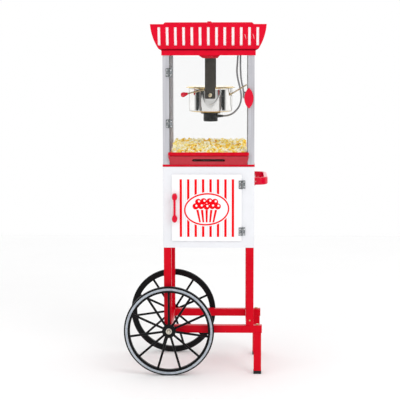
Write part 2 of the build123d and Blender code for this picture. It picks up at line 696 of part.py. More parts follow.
FASCIA_BACK_Y = DRAWER_FRONT - FASCIA_LEAN * (DRAWER_TOP - DRAWER_LOW) / FASCIA_RISE

with BuildPart() as kernel_drawer:
    with BuildSketch(Plane.YZ.offset(CART_X)):
        with BuildLine():
            Polyline(
                (DRAWER_FRONT, DRAWER_LOW),
                (DRAWER_BACK, DRAWER_LOW),
                (DRAWER_BACK, DRAWER_TOP),
                (FASCIA_BACK_Y, DRAWER_TOP),
                close=True,
            )
        make_face()
    extrude(amount=DRAWER_HALF, both=True)
    with Locations((CART_X, DRAWER_BACK - DRAWER_SHEET, DRAWER_LOW + DRAWER_SHEET)):
        Box(
            2 * (DRAWER_HALF - DRAWER_SHEET),
            DRAWER_BACK - DRAWER_FRONT + 40,
            DRAWER_TOP,
            align=(Align.CENTER, Align.MAX, Align.MIN),
            mode=Mode.SUBTRACT,
        )
    lean = Vector(0, -FASCIA_LEAN, FASCIA_RISE).normalized()
    fascia = Plane((CART_X, DRAWER_FRONT, DRAWER_LOW), x_dir=(1, 0, 0), z_dir=Vector(1, 0, 0).cross(lean))
    with BuildSketch(fascia):
        with BuildLine():
            Polyline(
                (-FASCIA_LOW_HALF, 0),
                (FASCIA_LOW_HALF, 0),
                (FASCIA_TOP_HALF, FASCIA_LENGTH),
                (-FASCIA_TOP_HALF, FASCIA_LENGTH),
                close=True,
            )
        make_face()
        with Locations((0, FASCIA_LENGTH * 0.53)):
            RectangleRounded(GRIP_WIDTH, GRIP_HEIGHT, 4, mode=Mode.SUBTRACT)
    extrude(amount=2)
kernel_drawer.part.label = "kernel_drawer"
export_step(kernel_drawer.part, "parts/kernel_drawer.step")


# Canopy: an awning with four flared sides above a straight skirt

SKIRT_HALF = 156.0
SKIRT_TOP = 1093.6
AWNING_LOW_HALF = 165.5
AWNING_LOW = 1100.0
AWNING_MID_HALF = 183.6
AWNING_MID = 1140.0
AWNING_HALF = 191.0
AWNING_TOP = 1180.0
CANOPY_SHEET = 2.5
ROOF_HALF = 150.0
ROOF_RISE = 6.0
SLOTS = 13
SLOT_PITCH = 27.0
SLOT_WIDTH = 9.0
SLOT_LOW = 1110.0
SLOT_HIGH = 1170.0


def canopy_solid(inset):
    """The canopy's outer form, moved in by inset on every side and from the top."""
    with BuildPart() as form:
        for plane, mode in ((Plane.XZ, Mode.ADD), (Plane.YZ, Mode.INTERSECT)):
            with BuildSketch(plane):
                with BuildLine():
                    Polyline(
                        (0, POPPER_TOP),
                        (SKIRT_HALF - inset, POPPER_TOP),
                        (SKIRT_HALF - inset, SKIRT_TOP),
                        (AWNING_LOW_HALF - 5 - inset, SKIRT_TOP + 3),
                        (AWNING_LOW_HALF - inset, AWNING_LOW),
                    )
                    ThreePointArc(
                        (AWNING_LOW_HALF - inset, AWNING_LOW),
                        (AWNING_MID_HALF - inset, AWNING_MID),
                        (AWNING_HALF - inset, AWNING_TOP - inset),
                    )
                    Line((AWNING_HALF - inset, AWNING_TOP - inset), (0, AWNING_TOP - inset))
                    mirror(about=Plane.YZ)
                make_face()
            extrude(amount=AWNING_HALF + 10, both=True, mode=mode)
    return Pos(CART_X, 0, 0) * form.part


canopy_outer = canopy_solid(0)
canopy_inner = canopy_solid(CANOPY_SHEET)
liner_outer = canopy_solid(CANOPY_SHEET + 0.2)
liner_inner = canopy_solid(CANOPY_SHEET + 1.7)

SWITCH_X = CART_X
SWITCH_Z = 1139.0
SWITCH_WIDTH = 100.0
SWITCH_HEIGHT = 54.0
SWITCH_FACE = 178.0
SWITCH_THICKNESS = 4.0

with BuildPart() as canopy_shell:
    add(canopy_outer)
    add(canopy_inner, mode=Mode.SUBTRACT)
    with BuildSketch(Plane.XY.offset(AWNING_TOP)):
        with Locations((CART_X, 0)):
            Rectangle(2 * ROOF_HALF, 2 * ROOF_HALF)
    extrude(amount=ROOF_RISE, taper=45)
    with BuildSketch(Plane.XY.offset(AWNING_TOP + ROOF_RISE)):
        with Locations((CART_X, 0)):
            Circle(8)
    extrude(amount=4, taper=20)
    for slot in range(SLOTS):
        across = (slot - (SLOTS - 1) / 2) * SLOT_PITCH
        with Locations((CART_X + across, -AWNING_HALF + 10, (SLOT_LOW + SLOT_HIGH) / 2)):
            Box(SLOT_WIDTH, 50, SLOT_HIGH - SLOT_LOW, mode=Mode.SUBTRACT)
        for side in (-1, 1):
            with Locations((CART_X + side * (AWNING_HALF - 10), across, (SLOT_LOW + SLOT_HIGH) / 2)):
                Box(50, SLOT_WIDTH, SLOT_HIGH - SLOT_LOW, mode=Mode.SUBTRACT)
    with Locations((SWITCH_X, AWNING_HALF, SWITCH_Z)):
        Box(SWITCH_WIDTH, 60, SWITCH_HEIGHT, mode=Mode.SUBTRACT)
canopy_shell.part.label = "canopy_shell"
export_step(canopy_shell.part, "parts/canopy_shell.step")

# White liner that shows through the slots
with BuildPart() as canopy_liner:
    add(liner_outer)
    add(liner_inner, mode=Mode.SUBTRACT)
    with Locations((CART_X, 0, AWNING_LOW + 3)):
        Box(400, 400, AWNING_TOP - AWNING_LOW - 9, align=LOW, mode=Mode.INTERSECT)
    with Locations((SWITCH_X, AWNING_HALF, SWITCH_Z)):
        Box(SWITCH_WIDTH + 4, 60, SWITCH_HEIGHT + 30, mode=Mode.SUBTRACT)
canopy_liner.part.label = "canopy_liner"
export_step(canopy_liner.part, "parts/canopy_liner.step")

# Switch plate in the back of the canopy, with two rockers and the mains gland
ROCKER_XS = (-32.0, -6.0)
ROCKER_WIDTH = 19.0
ROCKER_HEIGHT = 13.0
ROCKER_DEPTH = 8.0
ROCKER_GAP = 0.6
ROCKER_THROW = 8.0  # degrees each side of level
GLAND_X = 30.0
GLAND_R = 7.0
WELL = 12.0
WELL_WIDTH = ROCKER_WIDTH + 2 * ROCKER_GAP
WELL_HEIGHT = ROCKER_HEIGHT + 4 * ROCKER_GAP
WELL_DEPTH = 2 * WELL - 3

with BuildPart() as switch_plate:
    with Locations((SWITCH_X, SWITCH_FACE - SWITCH_THICKNESS / 2, SWITCH_Z)):
        Box(SWITCH_WIDTH, SWITCH_THICKNESS, SWITCH_HEIGHT)
    for rocker_x in ROCKER_XS:
        with Locations((SWITCH_X + rocker_x, SWITCH_FACE - WELL / 2, SWITCH_Z)):
            Box(ROCKER_WIDTH + 5, WELL, ROCKER_HEIGHT + 8)
    for rocker_x in ROCKER_XS:
        with Locations((SWITCH_X + rocker_x, SWITCH_FACE, SWITCH_Z)):
            Box(WELL_WIDTH, WELL_DEPTH, WELL_HEIGHT, mode=Mode.SUBTRACT)
    with Locations(Location((SWITCH_X + GLAND_X, SWITCH_FACE, SWITCH_Z), (90, 0, 0))):
        Cylinder(GLAND_R, 20, mode=Mode.SUBTRACT)
switch_plate.part.label = "switch_plate"
export_step(switch_plate.part, "parts/switch_plate.step")

for rocker_name, rocker_x in zip(("kettle_rocker", "light_rocker"), ROCKER_XS):
    with BuildPart() as rocker:
        with BuildSketch(Plane.YZ.offset(SWITCH_X + rocker_x)):
            with BuildLine():
                Polyline(
                    (SWITCH_FACE - ROCKER_DEPTH + 2, SWITCH_Z - ROCKER_HEIGHT / 2),
                    (SWITCH_FACE + 2.4, SWITCH_Z - ROCKER_HEIGHT / 2),
                    (SWITCH_FACE + 1.0, SWITCH_Z),
                    (SWITCH_FACE + 2.4, SWITCH_Z + ROCKER_HEIGHT / 2),
                    (SWITCH_FACE - ROCKER_DEPTH + 2, SWITCH_Z + ROCKER_HEIGHT / 2),
                    close=True,
                )
            make_face()
        extrude(amount=ROCKER_WIDTH / 2, both=True)
    pivot = Axis((SWITCH_X + rocker_x, SWITCH_FACE - 2, SWITCH_Z), (1, 0, 0))
    turned = rocker.part.rotate(pivot, -ROCKER_THROW)
    turned.label = rocker_name
    export_step(turned, f"parts/{rocker_name}.step")

with BuildPart() as mains_gland:
    gland_root = (SWITCH_X + GLAND_X, SWITCH_FACE - SWITCH_THICKNESS, SWITCH_Z)
    with BuildSketch(Plane(gland_root, z_dir=(0, 1, 0))):
        Circle(GLAND_R)
        Circle(3.5, mode=Mode.SUBTRACT)
    extrude(amount=SWITCH_THICKNESS)
    with BuildSketch(Plane((SWITCH_X + GLAND_X, SWITCH_FACE, SWITCH_Z), z_dir=(0, 1, 0))):
        Circle(GLAND_R + 2)
        Circle(3.5, mode=Mode.SUBTRACT)
    extrude(amount=5)
mains_gland.part.label = "mains_gland"
export_step(mains_gland.part, "parts/mains_gland.step")

with BuildPart() as ceiling_plate:
    with Locations((CART_X, 0, POPPER_TOP)):
        Box(2 * (SKIRT_HALF - CANOPY_SHEET), 2 * (SKIRT_HALF - CANOPY_SHEET), 2, align=LOW)
    with Locations((CART_X - 90, 60, POPPER_TOP)):
        Cylinder(17, 10, mode=Mode.SUBTRACT)
ceiling_plate.part.label = "ceiling_plate"
export_step(ceiling_plate.part, "parts/ceiling_plate.step")

# Lamp above the ceiling: its light falls through a hole and the slots
with BuildPart() as lamp:
    with Locations((CART_X - 90, 60, POPPER_TOP + 30)):
        Cylinder(14, 34, align=LOW)
    with Locations((CART_X - 90, 60, POPPER_TOP + 18)):
        Sphere(15)
    with Locations((CART_X - 90, 60, POPPER_TOP + 64)):
        Cylinder(22, AWNING_TOP - CANOPY_SHEET - POPPER_TOP - 64, align=LOW)
lamp.part.label = "lamp"
export_step(lamp.part, "parts/lamp.step")


# Kettle group, hung from the ceiling on a yoke

KETTLE_X = CART_X + 4.0
KETTLE_PLANE = Plane((KETTLE_X, 0, 0), x_dir=(1, 0, 0), z_dir=(0, -1, 0))
KETTLE_AXIS = Axis((KETTLE_X, 0, 0), (0, 0, 1))
KETTLE_R = 75.0
KETTLE_LOW = 883.5
RIM_R = 85.0
RIM_TOP = 968.0
KETTLE_WALL = 1.5
PIVOT_Z = 943.0
PIVOT_R = 4.0
MOUNT_BOTTOM = 1067.0
MOUNT_HALF = 92.0
STRAP_INNER = 87.0
STRAP_THICKNESS = 3.0
STRAP_WIDTH = 35.0
STRAP_BOTTOM = 931.0
PIN_LENGTH = 20.0
BOSS_R = 9.0
BOSS_LENGTH = 6.0
HEAD_START = STRAP_INNER + STRAP_THICKNESS + 0.5
HEAD_R = 6.5
HEAD_LENGTH = 3.0

# A folded channel under the ceiling carries the two straps of the yoke.
with BuildPart() as yoke_mount:
    with BuildSketch(KETTLE_PLANE):
        with BuildLine():
            Polyline(
                (-40, POPPER_TOP),
                (-25, MOUNT_BOTTOM),
                (25, MOUNT_BOTTOM),
                (34, POPPER_TOP),
                close=True,
            )
        make_face()
    extrude(amount=MOUNT_HALF, both=True)
yoke_mount.part.label = "yoke_mount"
export_step(yoke_mount.part, "parts/yoke_mount.step")

with BuildPart() as kettle_yoke:
    for side in (-1, 1):
        strap_y = side * (STRAP_INNER + STRAP_THICKNESS / 2)
        with Locations((KETTLE_X, strap_y, STRAP_BOTTOM)):
            Box(STRAP_WIDTH, STRAP_THICKNESS, MOUNT_BOTTOM - STRAP_BOTTOM, align=LOW)
    fillet(kettle_yoke.edges().filter_by(Axis.Y).group_by(Axis.Z)[0], radius=4)
    with Locations(Location((KETTLE_X, 0, PIVOT_Z), (90, 0, 0))):
        Cylinder(PIVOT_R + RUNNING_FIT, 3 * RIM_R, mode=Mode.SUBTRACT)
kettle_yoke.part.label = "kettle_yoke"
export_step(kettle_yoke.part, "parts/kettle_yoke.step")

# Spun steel kettle with a flat brim; its two pivot pins are welded to the wall.
with BuildPart() as kettle:
    with BuildSketch(KETTLE_PLANE):
        with BuildLine():
            Polyline(
                (0, KETTLE_LOW),
                (KETTLE_R - 5, KETTLE_LOW),
                (KETTLE_R, KETTLE_LOW + 5),
                (KETTLE_R, RIM_TOP - KETTLE_WALL),
                (RIM_R, RIM_TOP - KETTLE_WALL),
                (RIM_R, RIM_TOP),
                (KETTLE_R - KETTLE_WALL, RIM_TOP),
                (KETTLE_R - KETTLE_WALL, KETTLE_LOW + 5.5),
                (KETTLE_R - 5.5, KETTLE_LOW + KETTLE_WALL),
                (0, KETTLE_LOW + KETTLE_WALL),
                close=True,
            )
        make_face()
    revolve(axis=KETTLE_AXIS)
    with Locations((KETTLE_X, 0, KETTLE_LOW)):
        Cylinder(PIVOT_R + RUNNING_FIT, 4 * KETTLE_WALL, mode=Mode.SUBTRACT)
    for side in (-1, 1):
        wall_side = Plane((KETTLE_X, side * (KETTLE_R - 1), PIVOT_Z), z_dir=(0, side, 0))
        with BuildSketch(wall_side):
            Circle(PIVOT_R)
        extrude(amount=PIN_LENGTH)
        with BuildSketch(wall_side):
            Circle(BOSS_R)
        extrude(amount=BOSS_LENGTH)
        with BuildSketch(wall_side.offset(HEAD_START - KETTLE_R + 1)):
            Circle(HEAD_R)
        extrude(amount=HEAD_LENGTH)
kettle.part.label = "kettle"
export_step(kettle.part, "parts/kettle.step")

# Two half lids on a bar across the brim
LID_GAP = 6.0
LID_R = 79.0
LID_LOW = RIM_TOP + 0.4
LID_SHEET = 1.2

with BuildPart() as lid_bar:
    with Locations((KETTLE_X, 0, RIM_TOP)):
        Box(8, 2 * RIM_R - 4, 4, align=LOW)
lid_bar.part.label = "lid_bar"
export_step(lid_bar.part, "parts/lid_bar.step")

for lid_name, side in (("left_lid", -1), ("right_lid", 1)):
    with BuildPart() as lid:
        with Locations((KETTLE_X, 0, LID_LOW)):
            Cylinder(LID_R, LID_SHEET, align=LOW)
        with Locations((KETTLE_X - side * (RIM_R - LID_GAP), 0, LID_LOW)):
            Box(2 * RIM_R, 2 * RIM_R, 2 * LID_SHEET, align=LOW, mode=Mode.SUBTRACT)
    lid.part.label = lid_name
    export_step(lid.part, f"parts/{lid_name}.step")

# Heater and stirring motor in a black housing under the kettle
HOUSING_R = 24.5
HOUSING_LOW = 850.0
HOUSING_HIGH = 877.0
SHAFT_LOW = 866.0

with BuildPart() as heater_housing:
    with Locations((KETTLE_X, 0, HOUSING_LOW)):
        Cylinder(HOUSING_R, HOUSING_HIGH - HOUSING_LOW, align=LOW)
    fillet(heater_housing.edges().group_by(Axis.Z)[0], radius=1.5)
    with Locations((KETTLE_X, 0, HOUSING_HIGH)):
        Cylinder(34, KETTLE_LOW - HOUSING_HIGH, align=LOW)
    with Locations((KETTLE_X, 0, SHAFT_LOW - 0.5)):
        Cylinder(PIVOT_R + RUNNING_FIT, 30, align=LOW, mode=Mode.SUBTRACT)
heater_housing.part.label = "heater_housing"
export_step(heater_housing.part, "parts/heater_housing.step")

with BuildPart() as stirrer:
    with Locations((KETTLE_X, 0, SHAFT_LOW)):
        Cylinder(PIVOT_R, 30, align=LOW)
    with Locations((KETTLE_X, 0, KETTLE_LOW + KETTLE_WALL + 1)):
        Cylinder(10, 9, align=LOW)
    with Locations((KETTLE_X, 0, KETTLE_LOW + KETTLE_WALL + 2)):
        Box(124, 5, 4, align=LOW)
stirrer.part.label = "stirrer"
export_step(stirrer.part, "parts/stirrer.step")

# Ribbed strain relief on the right of the housing
LEAD_R = 3.0
LEAD_Z = 868.0
RELIEF_START = KETTLE_X + HOUSING_R - 1.5
RELIEF_END = CART_X + 48.0

with BuildPart() as strain_relief:
    with BuildSketch(Plane((RELIEF_START, 0, LEAD_Z), z_dir=(1, 0, 0))):
        Circle(6)
    extrude(amount=4)
    with BuildSketch(Plane((RELIEF_START + 4, 0, LEAD_Z), z_dir=(1, 0, 0))):
        Circle(4.8)
    extrude(amount=RELIEF_END - RELIEF_START - 4, taper=3)
strain_relief.part.label = "strain_relief"
export_step(strain_relief.part, "parts/strain_relief.step")

# Steel rods: the dump handle on the left, and a bare stop arm on the right
ROD_R = 2.5
KNOB = Vector(CART_X - 88.0, -50, PIVOT_Z)
ROD_ROOT = Vector(KETTLE_X - 18.0, -76.5, 961.5)
ARM_ROOT = Vector(KETTLE_X + 67.5, -34.0, 942.5)
ARM_TIP = Vector(CART_X + 128.0, -30.0, 976.0)


def rod_between(start, finish):
    """A round rod with a welded bead at its root."""
    with BuildPart() as rod:
        with BuildSketch(Plane(start, z_dir=finish - start)):
            Circle(ROD_R)
        extrude(amount=(finish - start).length)
        with BuildSketch(Plane(start, z_dir=finish - start)):
            Circle(2 * ROD_R)
        extrude(amount=5, taper=15)
    return rod.part


with BuildPart() as kettle_rods:
    add(rod_between(ROD_ROOT, KNOB))
    add(rod_between(ARM_ROOT, ARM_TIP))
kettle_rods.part.label = "kettle_rods"
export_step(kettle_rods.part, "parts/kettle_rods.step")

# Pear-shaped knob, bored to take the rod's end
knob_direction = (KNOB - ROD_ROOT).normalized()
with BuildPart(Plane(KNOB, z_dir=knob_direction)) as dump_knob:
    with Locations((0, 0, 2)):
        Sphere(8.5)
    with Locations((0, 0, -8)):
        Cone(4, 7.6, 12)
    with Locations((0, 0, -7.5)):
        Cylinder(ROD_R, 15, mode=Mode.SUBTRACT)
dump_knob.part.label = "dump_knob"
export_step(dump_knob.part, "parts/dump_knob.step")


# Sheathed leads, each from the ceiling down inside the popper

def lead_tube(points):
    """A tube of straight runs joined by arcs as large as the runs allow."""
    corners = [Vector(*point) for point in points]
    runs = [second - first for first, second in zip(corners, corners[1:])]
    radii = []
    for before, after in zip(runs, runs[1:]):
        half_turn = math.radians(before.get_angle(after)) / 2
        radii.append(0.45 * min(before.length, after.length) / math.tan(half_turn))
    with BuildPart() as tube:
        with BuildLine() as route:
            FilletPolyline(*corners, radius=radii)
        with BuildSketch(Plane(corners[0], z_dir=runs[0])):
            Circle(LEAD_R)
        sweep()
    length = route.wires()[0].length
    section = math.pi * LEAD_R**2
    print("radii", [round(radius, 1) for radius in radii])
    print("length", round(length, 1), "expected volume", round(section * length))
    print("volume", round(tube.part.volume))
    return tube.part


# The kettle's lead goes into the strain relief and swings with it.
KETTLE_LEAD = (
    (CART_X + 97.8, 2, POPPER_TOP),
    (CART_X + 96.0, 1, 1050),
    (CART_X + 93.5, -1, 1021),
    (CART_X + 98.0, -2, 991),
    (CART_X + 106.0, -1, 961),
    (CART_X + 110.5, 1, 931),
    (CART_X + 104.5, 2, 902),
    (CART_X + 85.0, 1, 878.5),
    (CART_X + 64.5, 0, LEAD_Z + 0.5),
    (RELIEF_END + 0.4, 0, LEAD_Z),
)
kettle_lead = lead_tube(KETTLE_LEAD)
kettle_lead.label = "kettle_lead"
export_step(kettle_lead, "parts/kettle_lead.step")

# The second lead drops beside it and runs back to a grommet on the back pane.
GROMMET_X = CART_X + 122.0
GROMMET_Y = PANE_X - PANE
GROMMET_Z = 938.0
GROMMET_THICKNESS = 5.0
SECOND_LEAD = (
    (CART_X + 106.5, 10, POPPER_TOP),
    (CART_X + 106.0, 10, 1049),
    (CART_X + 106.8, 11, 1019),
    (CART_X + 109.0, 12, 990),
    (CART_X + 115.0, 15, 964),
    (CART_X + 117.5, 27, 943),
    (CART_X + 117.5, 48, 930),
    (CART_X + 118.5, 73, 926),
    (CART_X + 120.0, 98, 930),
    (CART_X + 121.5, 121, 936.5),
    (GROMMET_X, GROMMET_Y - GROMMET_THICKNESS, GROMMET_Z),
)
second_lead = lead_tube(SECOND_LEAD)
second_lead.label = "second_lead"
export_step(second_lead, "parts/second_lead.step")

with BuildPart() as lead_grommet:
    with BuildSketch(Plane((GROMMET_X, GROMMET_Y, GROMMET_Z), z_dir=(0, -1, 0))):
        Circle(7)
    extrude(amount=GROMMET_THICKNESS)
    fillet(lead_grommet.edges().sort_by(Axis.Y)[0], radius=1.5)
lead_grommet.part.label = "lead_grommet"
export_step(lead_grommet.part, "parts/lead_grommet.step")
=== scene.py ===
import math
import random

import bmesh
import bpy
from mathutils import Euler, Matrix, Vector


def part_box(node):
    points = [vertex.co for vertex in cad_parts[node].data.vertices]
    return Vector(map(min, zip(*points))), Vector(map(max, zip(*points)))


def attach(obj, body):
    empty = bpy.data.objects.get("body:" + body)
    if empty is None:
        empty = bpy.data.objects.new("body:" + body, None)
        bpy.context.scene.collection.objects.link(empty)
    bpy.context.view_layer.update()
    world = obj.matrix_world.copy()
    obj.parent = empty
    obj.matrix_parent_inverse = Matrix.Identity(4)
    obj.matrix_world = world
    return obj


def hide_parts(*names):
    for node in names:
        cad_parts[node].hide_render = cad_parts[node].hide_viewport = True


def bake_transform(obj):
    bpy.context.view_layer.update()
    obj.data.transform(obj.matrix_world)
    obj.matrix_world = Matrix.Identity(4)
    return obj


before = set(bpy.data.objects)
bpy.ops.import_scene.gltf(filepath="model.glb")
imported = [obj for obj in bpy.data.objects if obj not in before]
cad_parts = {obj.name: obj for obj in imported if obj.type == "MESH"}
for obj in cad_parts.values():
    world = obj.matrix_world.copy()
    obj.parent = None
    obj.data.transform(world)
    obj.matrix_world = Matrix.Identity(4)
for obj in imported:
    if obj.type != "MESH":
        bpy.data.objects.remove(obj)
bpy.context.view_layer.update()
MM = 0.001


# Camera
# A long lens at the height of the canopy, a little to the right of the cart's middle,
# looking slightly down and to the left.

camera_data = bpy.data.cameras.new("camera")
camera_data.sensor_width = 36.0
camera_data.lens = 122.7
camera = bpy.data.objects.new("camera", camera_data)
bpy.context.scene.collection.objects.link(camera)
camera.location = (0.1316, -4.6827, 1.1586)
turn_left = Matrix.Rotation(0.02598, 4, "Z")
look_down = Matrix.Rotation(math.pi / 2 - 0.12359, 4, "X")
level = Matrix.Rotation(-0.001656, 4, "Z")
camera.rotation_euler = (turn_left @ look_down @ level).to_euler()
bpy.context.scene.camera = camera
bpy.context.scene.view_settings.view_transform = "Standard"


# Leads inside the popper
# Two heat-proof leads in a braided grey sleeve. One drops from the ceiling to the
# heater under the kettle, the other runs back to a grommet.

CART_X = (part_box("cabinet_shell")[0][0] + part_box("cabinet_shell")[1][0]) / 2
LEAD_DIAMETER = 6 * MM
SLEEVE_SIDES = 5


def deselect():
    """Leaves nothing selected, so that the next operator acts on its own object."""
    bpy.ops.object.select_all(action="DESELECT")


def lead_route(name, points):
    """The lead's smooth line, with the route's corners as its control points."""
    curve = bpy.data.curves.new(name, "CURVE")
    curve.dimensions = "3D"
    curve.resolution_u = 12
    spline = curve.splines.new("NURBS")
    spline.points.add(len(points) - 1)
    for control, (x, y, z) in zip(spline.points, points):
        control.co = (CART_X + x * MM, y * MM, z * MM, 1)
    spline.order_u = 3
    spline.use_endpoint_u = True
    route = bpy.data.objects.new(name, curve)
    bpy.context.scene.collection.objects.link(route)
    return route


def lead_tube(name, points, material):
    """The round lead as a mesh, and the points along its middle."""
    route = lead_route(name, points)
    line = bpy.data.meshes.new_from_object(route)
    path = [vertex.co[:] for vertex in line.vertices]
    bpy.data.meshes.remove(line)
    route.data.bevel_depth = LEAD_DIAMETER / 2
    route.data.bevel_resolution = SLEEVE_SIDES
    route.data.use_fill_caps = True
    deselect()
    route.select_set(True)
    bpy.context.view_layer.objects.active = route
    bpy.ops.object.convert(target="MESH")
    tube = bpy.context.active_object
    bpy.ops.object.shade_smooth()
    tube.data.materials.append(material)
    return tube, path


def surface(
    name, dark, light, scale, roughness, bump=0.0, metallic=0.0, coat=0.0, shine=0.5,
    stretch=(1, 1, 1),
):
    """A finish whose colour, gloss and surface all wander a little, as a real coat's do."""
    material = bpy.data.materials.new(name)
    material.use_nodes = True
    nodes = material.node_tree.nodes
    links = material.node_tree.links
    shader = nodes["Principled BSDF"]
    shader.inputs["Metallic"].default_value = metallic
    shader.inputs["Specular IOR Level"].default_value = shine
    shader.inputs["Coat Weight"].default_value = coat
    shader.inputs["Coat Roughness"].default_value = 0.08
    place = nodes.new("ShaderNodeTexCoord")
    grain = nodes.new("ShaderNodeMapping")
    grain.inputs["Scale"].default_value = stretch
    links.new(place.outputs["Object"], grain.inputs["Vector"])
    noise = nodes.new("ShaderNodeTexNoise")
    noise.inputs["Scale"].default_value = scale
    noise.inputs["Detail"].default_value = 5
    noise.inputs["Roughness"].default_value = 0.6
    links.new(grain.outputs["Vector"], noise.inputs["Vector"])
    tint = nodes.new("ShaderNodeValToRGB")
    tint.color_ramp.elements[0].position = 0.3
    tint.color_ramp.elements[0].color = (*dark, 1)
    tint.color_ramp.elements[1].position = 0.7
    tint.color_ramp.elements[1].color = (*light, 1)
    links.new(noise.outputs["Fac"], tint.inputs["Fac"])
    links.new(tint.outputs["Color"], shader.inputs["Base Color"])
    gloss = nodes.new("ShaderNodeMapRange")
    gloss.inputs["To Min"].default_value = roughness[0]
    gloss.inputs["To Max"].default_value = roughness[1]
    links.new(noise.outputs["Fac"], gloss.inputs["Value"])
    links.new(gloss.outputs["Result"], shader.inputs["Roughness"])
    if bump:
        relief = nodes.new("ShaderNodeBump")
        relief.inputs["Strength"].default_value = bump
        relief.inputs["Distance"].default_value = 0.4 * MM
        links.new(noise.outputs["Fac"], relief.inputs["Height"])
        links.new(relief.outputs["Normal"], shader.inputs["Normal"])
    return material


def braided(name, dark, light):
    """A sleeve of two sets of threads that cross, drawn in the lead's object coordinates."""
    material = surface(name, dark, light, 900, (0.45, 0.6))
    nodes = material.node_tree.nodes
    links = material.node_tree.links
    shader = nodes["Principled BSDF"]
    place = nodes.new("ShaderNodeTexCoord")
    threads = []
    for lean in (1, -1):
        thread = nodes.new("ShaderNodeTexWave")
        thread.inputs["Scale"].default_value = 420
        thread.inputs["Distortion"].default_value = 1.5
        slant = nodes.new("ShaderNodeMapping")
        slant.inputs["Rotation"].default_value = (0, lean * math.radians(38), math.radians(20))
        links.new(place.outputs["Object"], slant.inputs["Vector"])
        links.new(slant.outputs["Vector"], thread.inputs["Vector"])
        threads.append(thread)
    cross = nodes.new("ShaderNodeMath")
    cross.operation = "MULTIPLY"
    links.new(threads[0].outputs["Fac"], cross.inputs[0])
    links.new(threads[1].outputs["Fac"], cross.inputs[1])
    relief = nodes.new("ShaderNodeBump")
    relief.inputs["Strength"].default_value = 0.5
    relief.inputs["Distance"].default_value = 0.3 * MM
    links.new(cross.outputs["Value"], relief.inputs["Height"])
    links.new(relief.outputs["Normal"], shader.inputs["Normal"])
    return material


sleeve = braided("lead_sleeve", (0.12, 0.12, 0.13), (0.34, 0.34, 0.36))
LEAD_Z = 868.0
KETTLE_LEAD = (
    (97.8, 2, 1077.5),
    (96.0, 1, 1050),
    (93.5, -1, 1021),
    (98.0, -2, 991),
    (106.0, -1, 961),
    (110.5, 1, 931),
    (104.5, 2, 902),
    (85.0, 1, 878.5),
    (64.5, 0, LEAD_Z + 0.5),
    (48.4, 0, LEAD_Z),
)
SECOND_LEAD = (
    (106.5, 10, 1077.5),
    (106.0, 10, 1049),
    (106.8, 11, 1019),
    (109.0, 12, 990),
    (115.0, 15, 964),
    (117.5, 27, 943),
    (117.5, 48, 930),
    (118.5, 73, 926),
    (120.0, 98, 930),
    (121.5, 121, 936.5),
    (122.0, 142, 938),
)
kettle_lead, kettle_path = lead_tube("kettle_lead_sleeve", KETTLE_LEAD, sleeve)
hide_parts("kettle_lead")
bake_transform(kettle_lead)

second_lead, second_path = lead_tube("second_lead_sleeve", SECOND_LEAD, sleeve)
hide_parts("second_lead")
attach(second_lead, "root")


# Cart frame
# Square steel tube with rounded edges, powder coated in gloss red. The cross tubes
# and the end caps are fitted first and coated with the rest.


def coat(material, *names):
    """Gives the named CAD pieces this finish."""
    for name in names:
        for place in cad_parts[name].material_slots:
            place.material = material


frame_red = surface("frame_red", (0.58, 0.0, 0.010), (0.64, 0.001, 0.013), 35, (0.24, 0.34), 0.06, shine=0.08)
coat(frame_red, "left_legs", "right_legs", "side_rails", "cross_tubes", "rest_legs", "tube_caps")

bolt_brass = surface(
    "yellow_zinc", (0.42, 0.30, 0.12), (0.70, 0.55, 0.30), 260, (0.25, 0.42), 0.08, metallic=1.0,
)
coat(bolt_brass, "frame_bolts")


# Rubber feet
# Black moulded rubber caps on the rest legs, and round pads under the popper. Both
# are matt and hold a little dust.

rubber = surface(
    "black_rubber", (0.006, 0.006, 0.006), (0.018, 0.018, 0.018), 180, (0.6, 0.8), 0.25, shine=0.3,
)
coat(rubber, "rubber_feet", "lead_grommet")


# Wheels
# Black rubber tyres on black enamelled steel rims with eleven welded spokes. A pale
# moulded band with slanting ribs, like laid rope, is let into the outer side of each.


def turned(name, profile, sides, ring=False):
    """A turned piece about +Z, drawn up ring by ring through its (radius, height) profile."""
    deselect()
    radius, height = profile[0]
    fill = "NOTHING" if ring else "NGON"
    bpy.ops.mesh.primitive_circle_add(
        vertices=sides, radius=radius * MM, fill_type=fill, location=(0, 0, height * MM),
    )
    piece = bpy.context.active_object
    piece.name = name
    bpy.ops.object.transform_apply()
    bpy.ops.object.mode_set(mode="EDIT")
    bpy.ops.mesh.select_all(action="SELECT")
    for next_radius, next_height in profile[1:]:
        rise = (0, 0, (next_height - height) * MM)
        bpy.ops.mesh.extrude_region_move(TRANSFORM_OT_translate={"value": rise})
        spread = next_radius / radius
        bpy.ops.transform.resize(value=(spread, spread, 1), center_override=(0, 0, 0))
        radius, height = next_radius, next_height
    bpy.ops.mesh.select_all(action="SELECT")
    bpy.ops.mesh.remove_doubles(threshold=0.00001)
    bpy.ops.mesh.normals_make_consistent(inside=False)
    bpy.ops.object.mode_set(mode="OBJECT")
    bpy.ops.object.shade_smooth_by_angle(angle=math.radians(38))
    return piece


def settle(piece, spot, axis=(0, 0, 1)):
    """Turns a piece made about +Z to face along axis, and sets it down at spot in its mesh."""
    turn = Vector(axis).to_track_quat("Z", "Y").to_matrix().to_4x4()
    piece.data.transform(Matrix.Translation(Vector(spot)) @ turn)
    piece.data.update()


def joined(name, pieces):
    """Several meshes as one piece."""
    deselect()
    for piece in pieces:
        piece.select_set(True)
    bpy.context.view_layer.objects.active = pieces[0]
    bpy.ops.object.join()
    pieces[0].name = name
    return pieces[0]


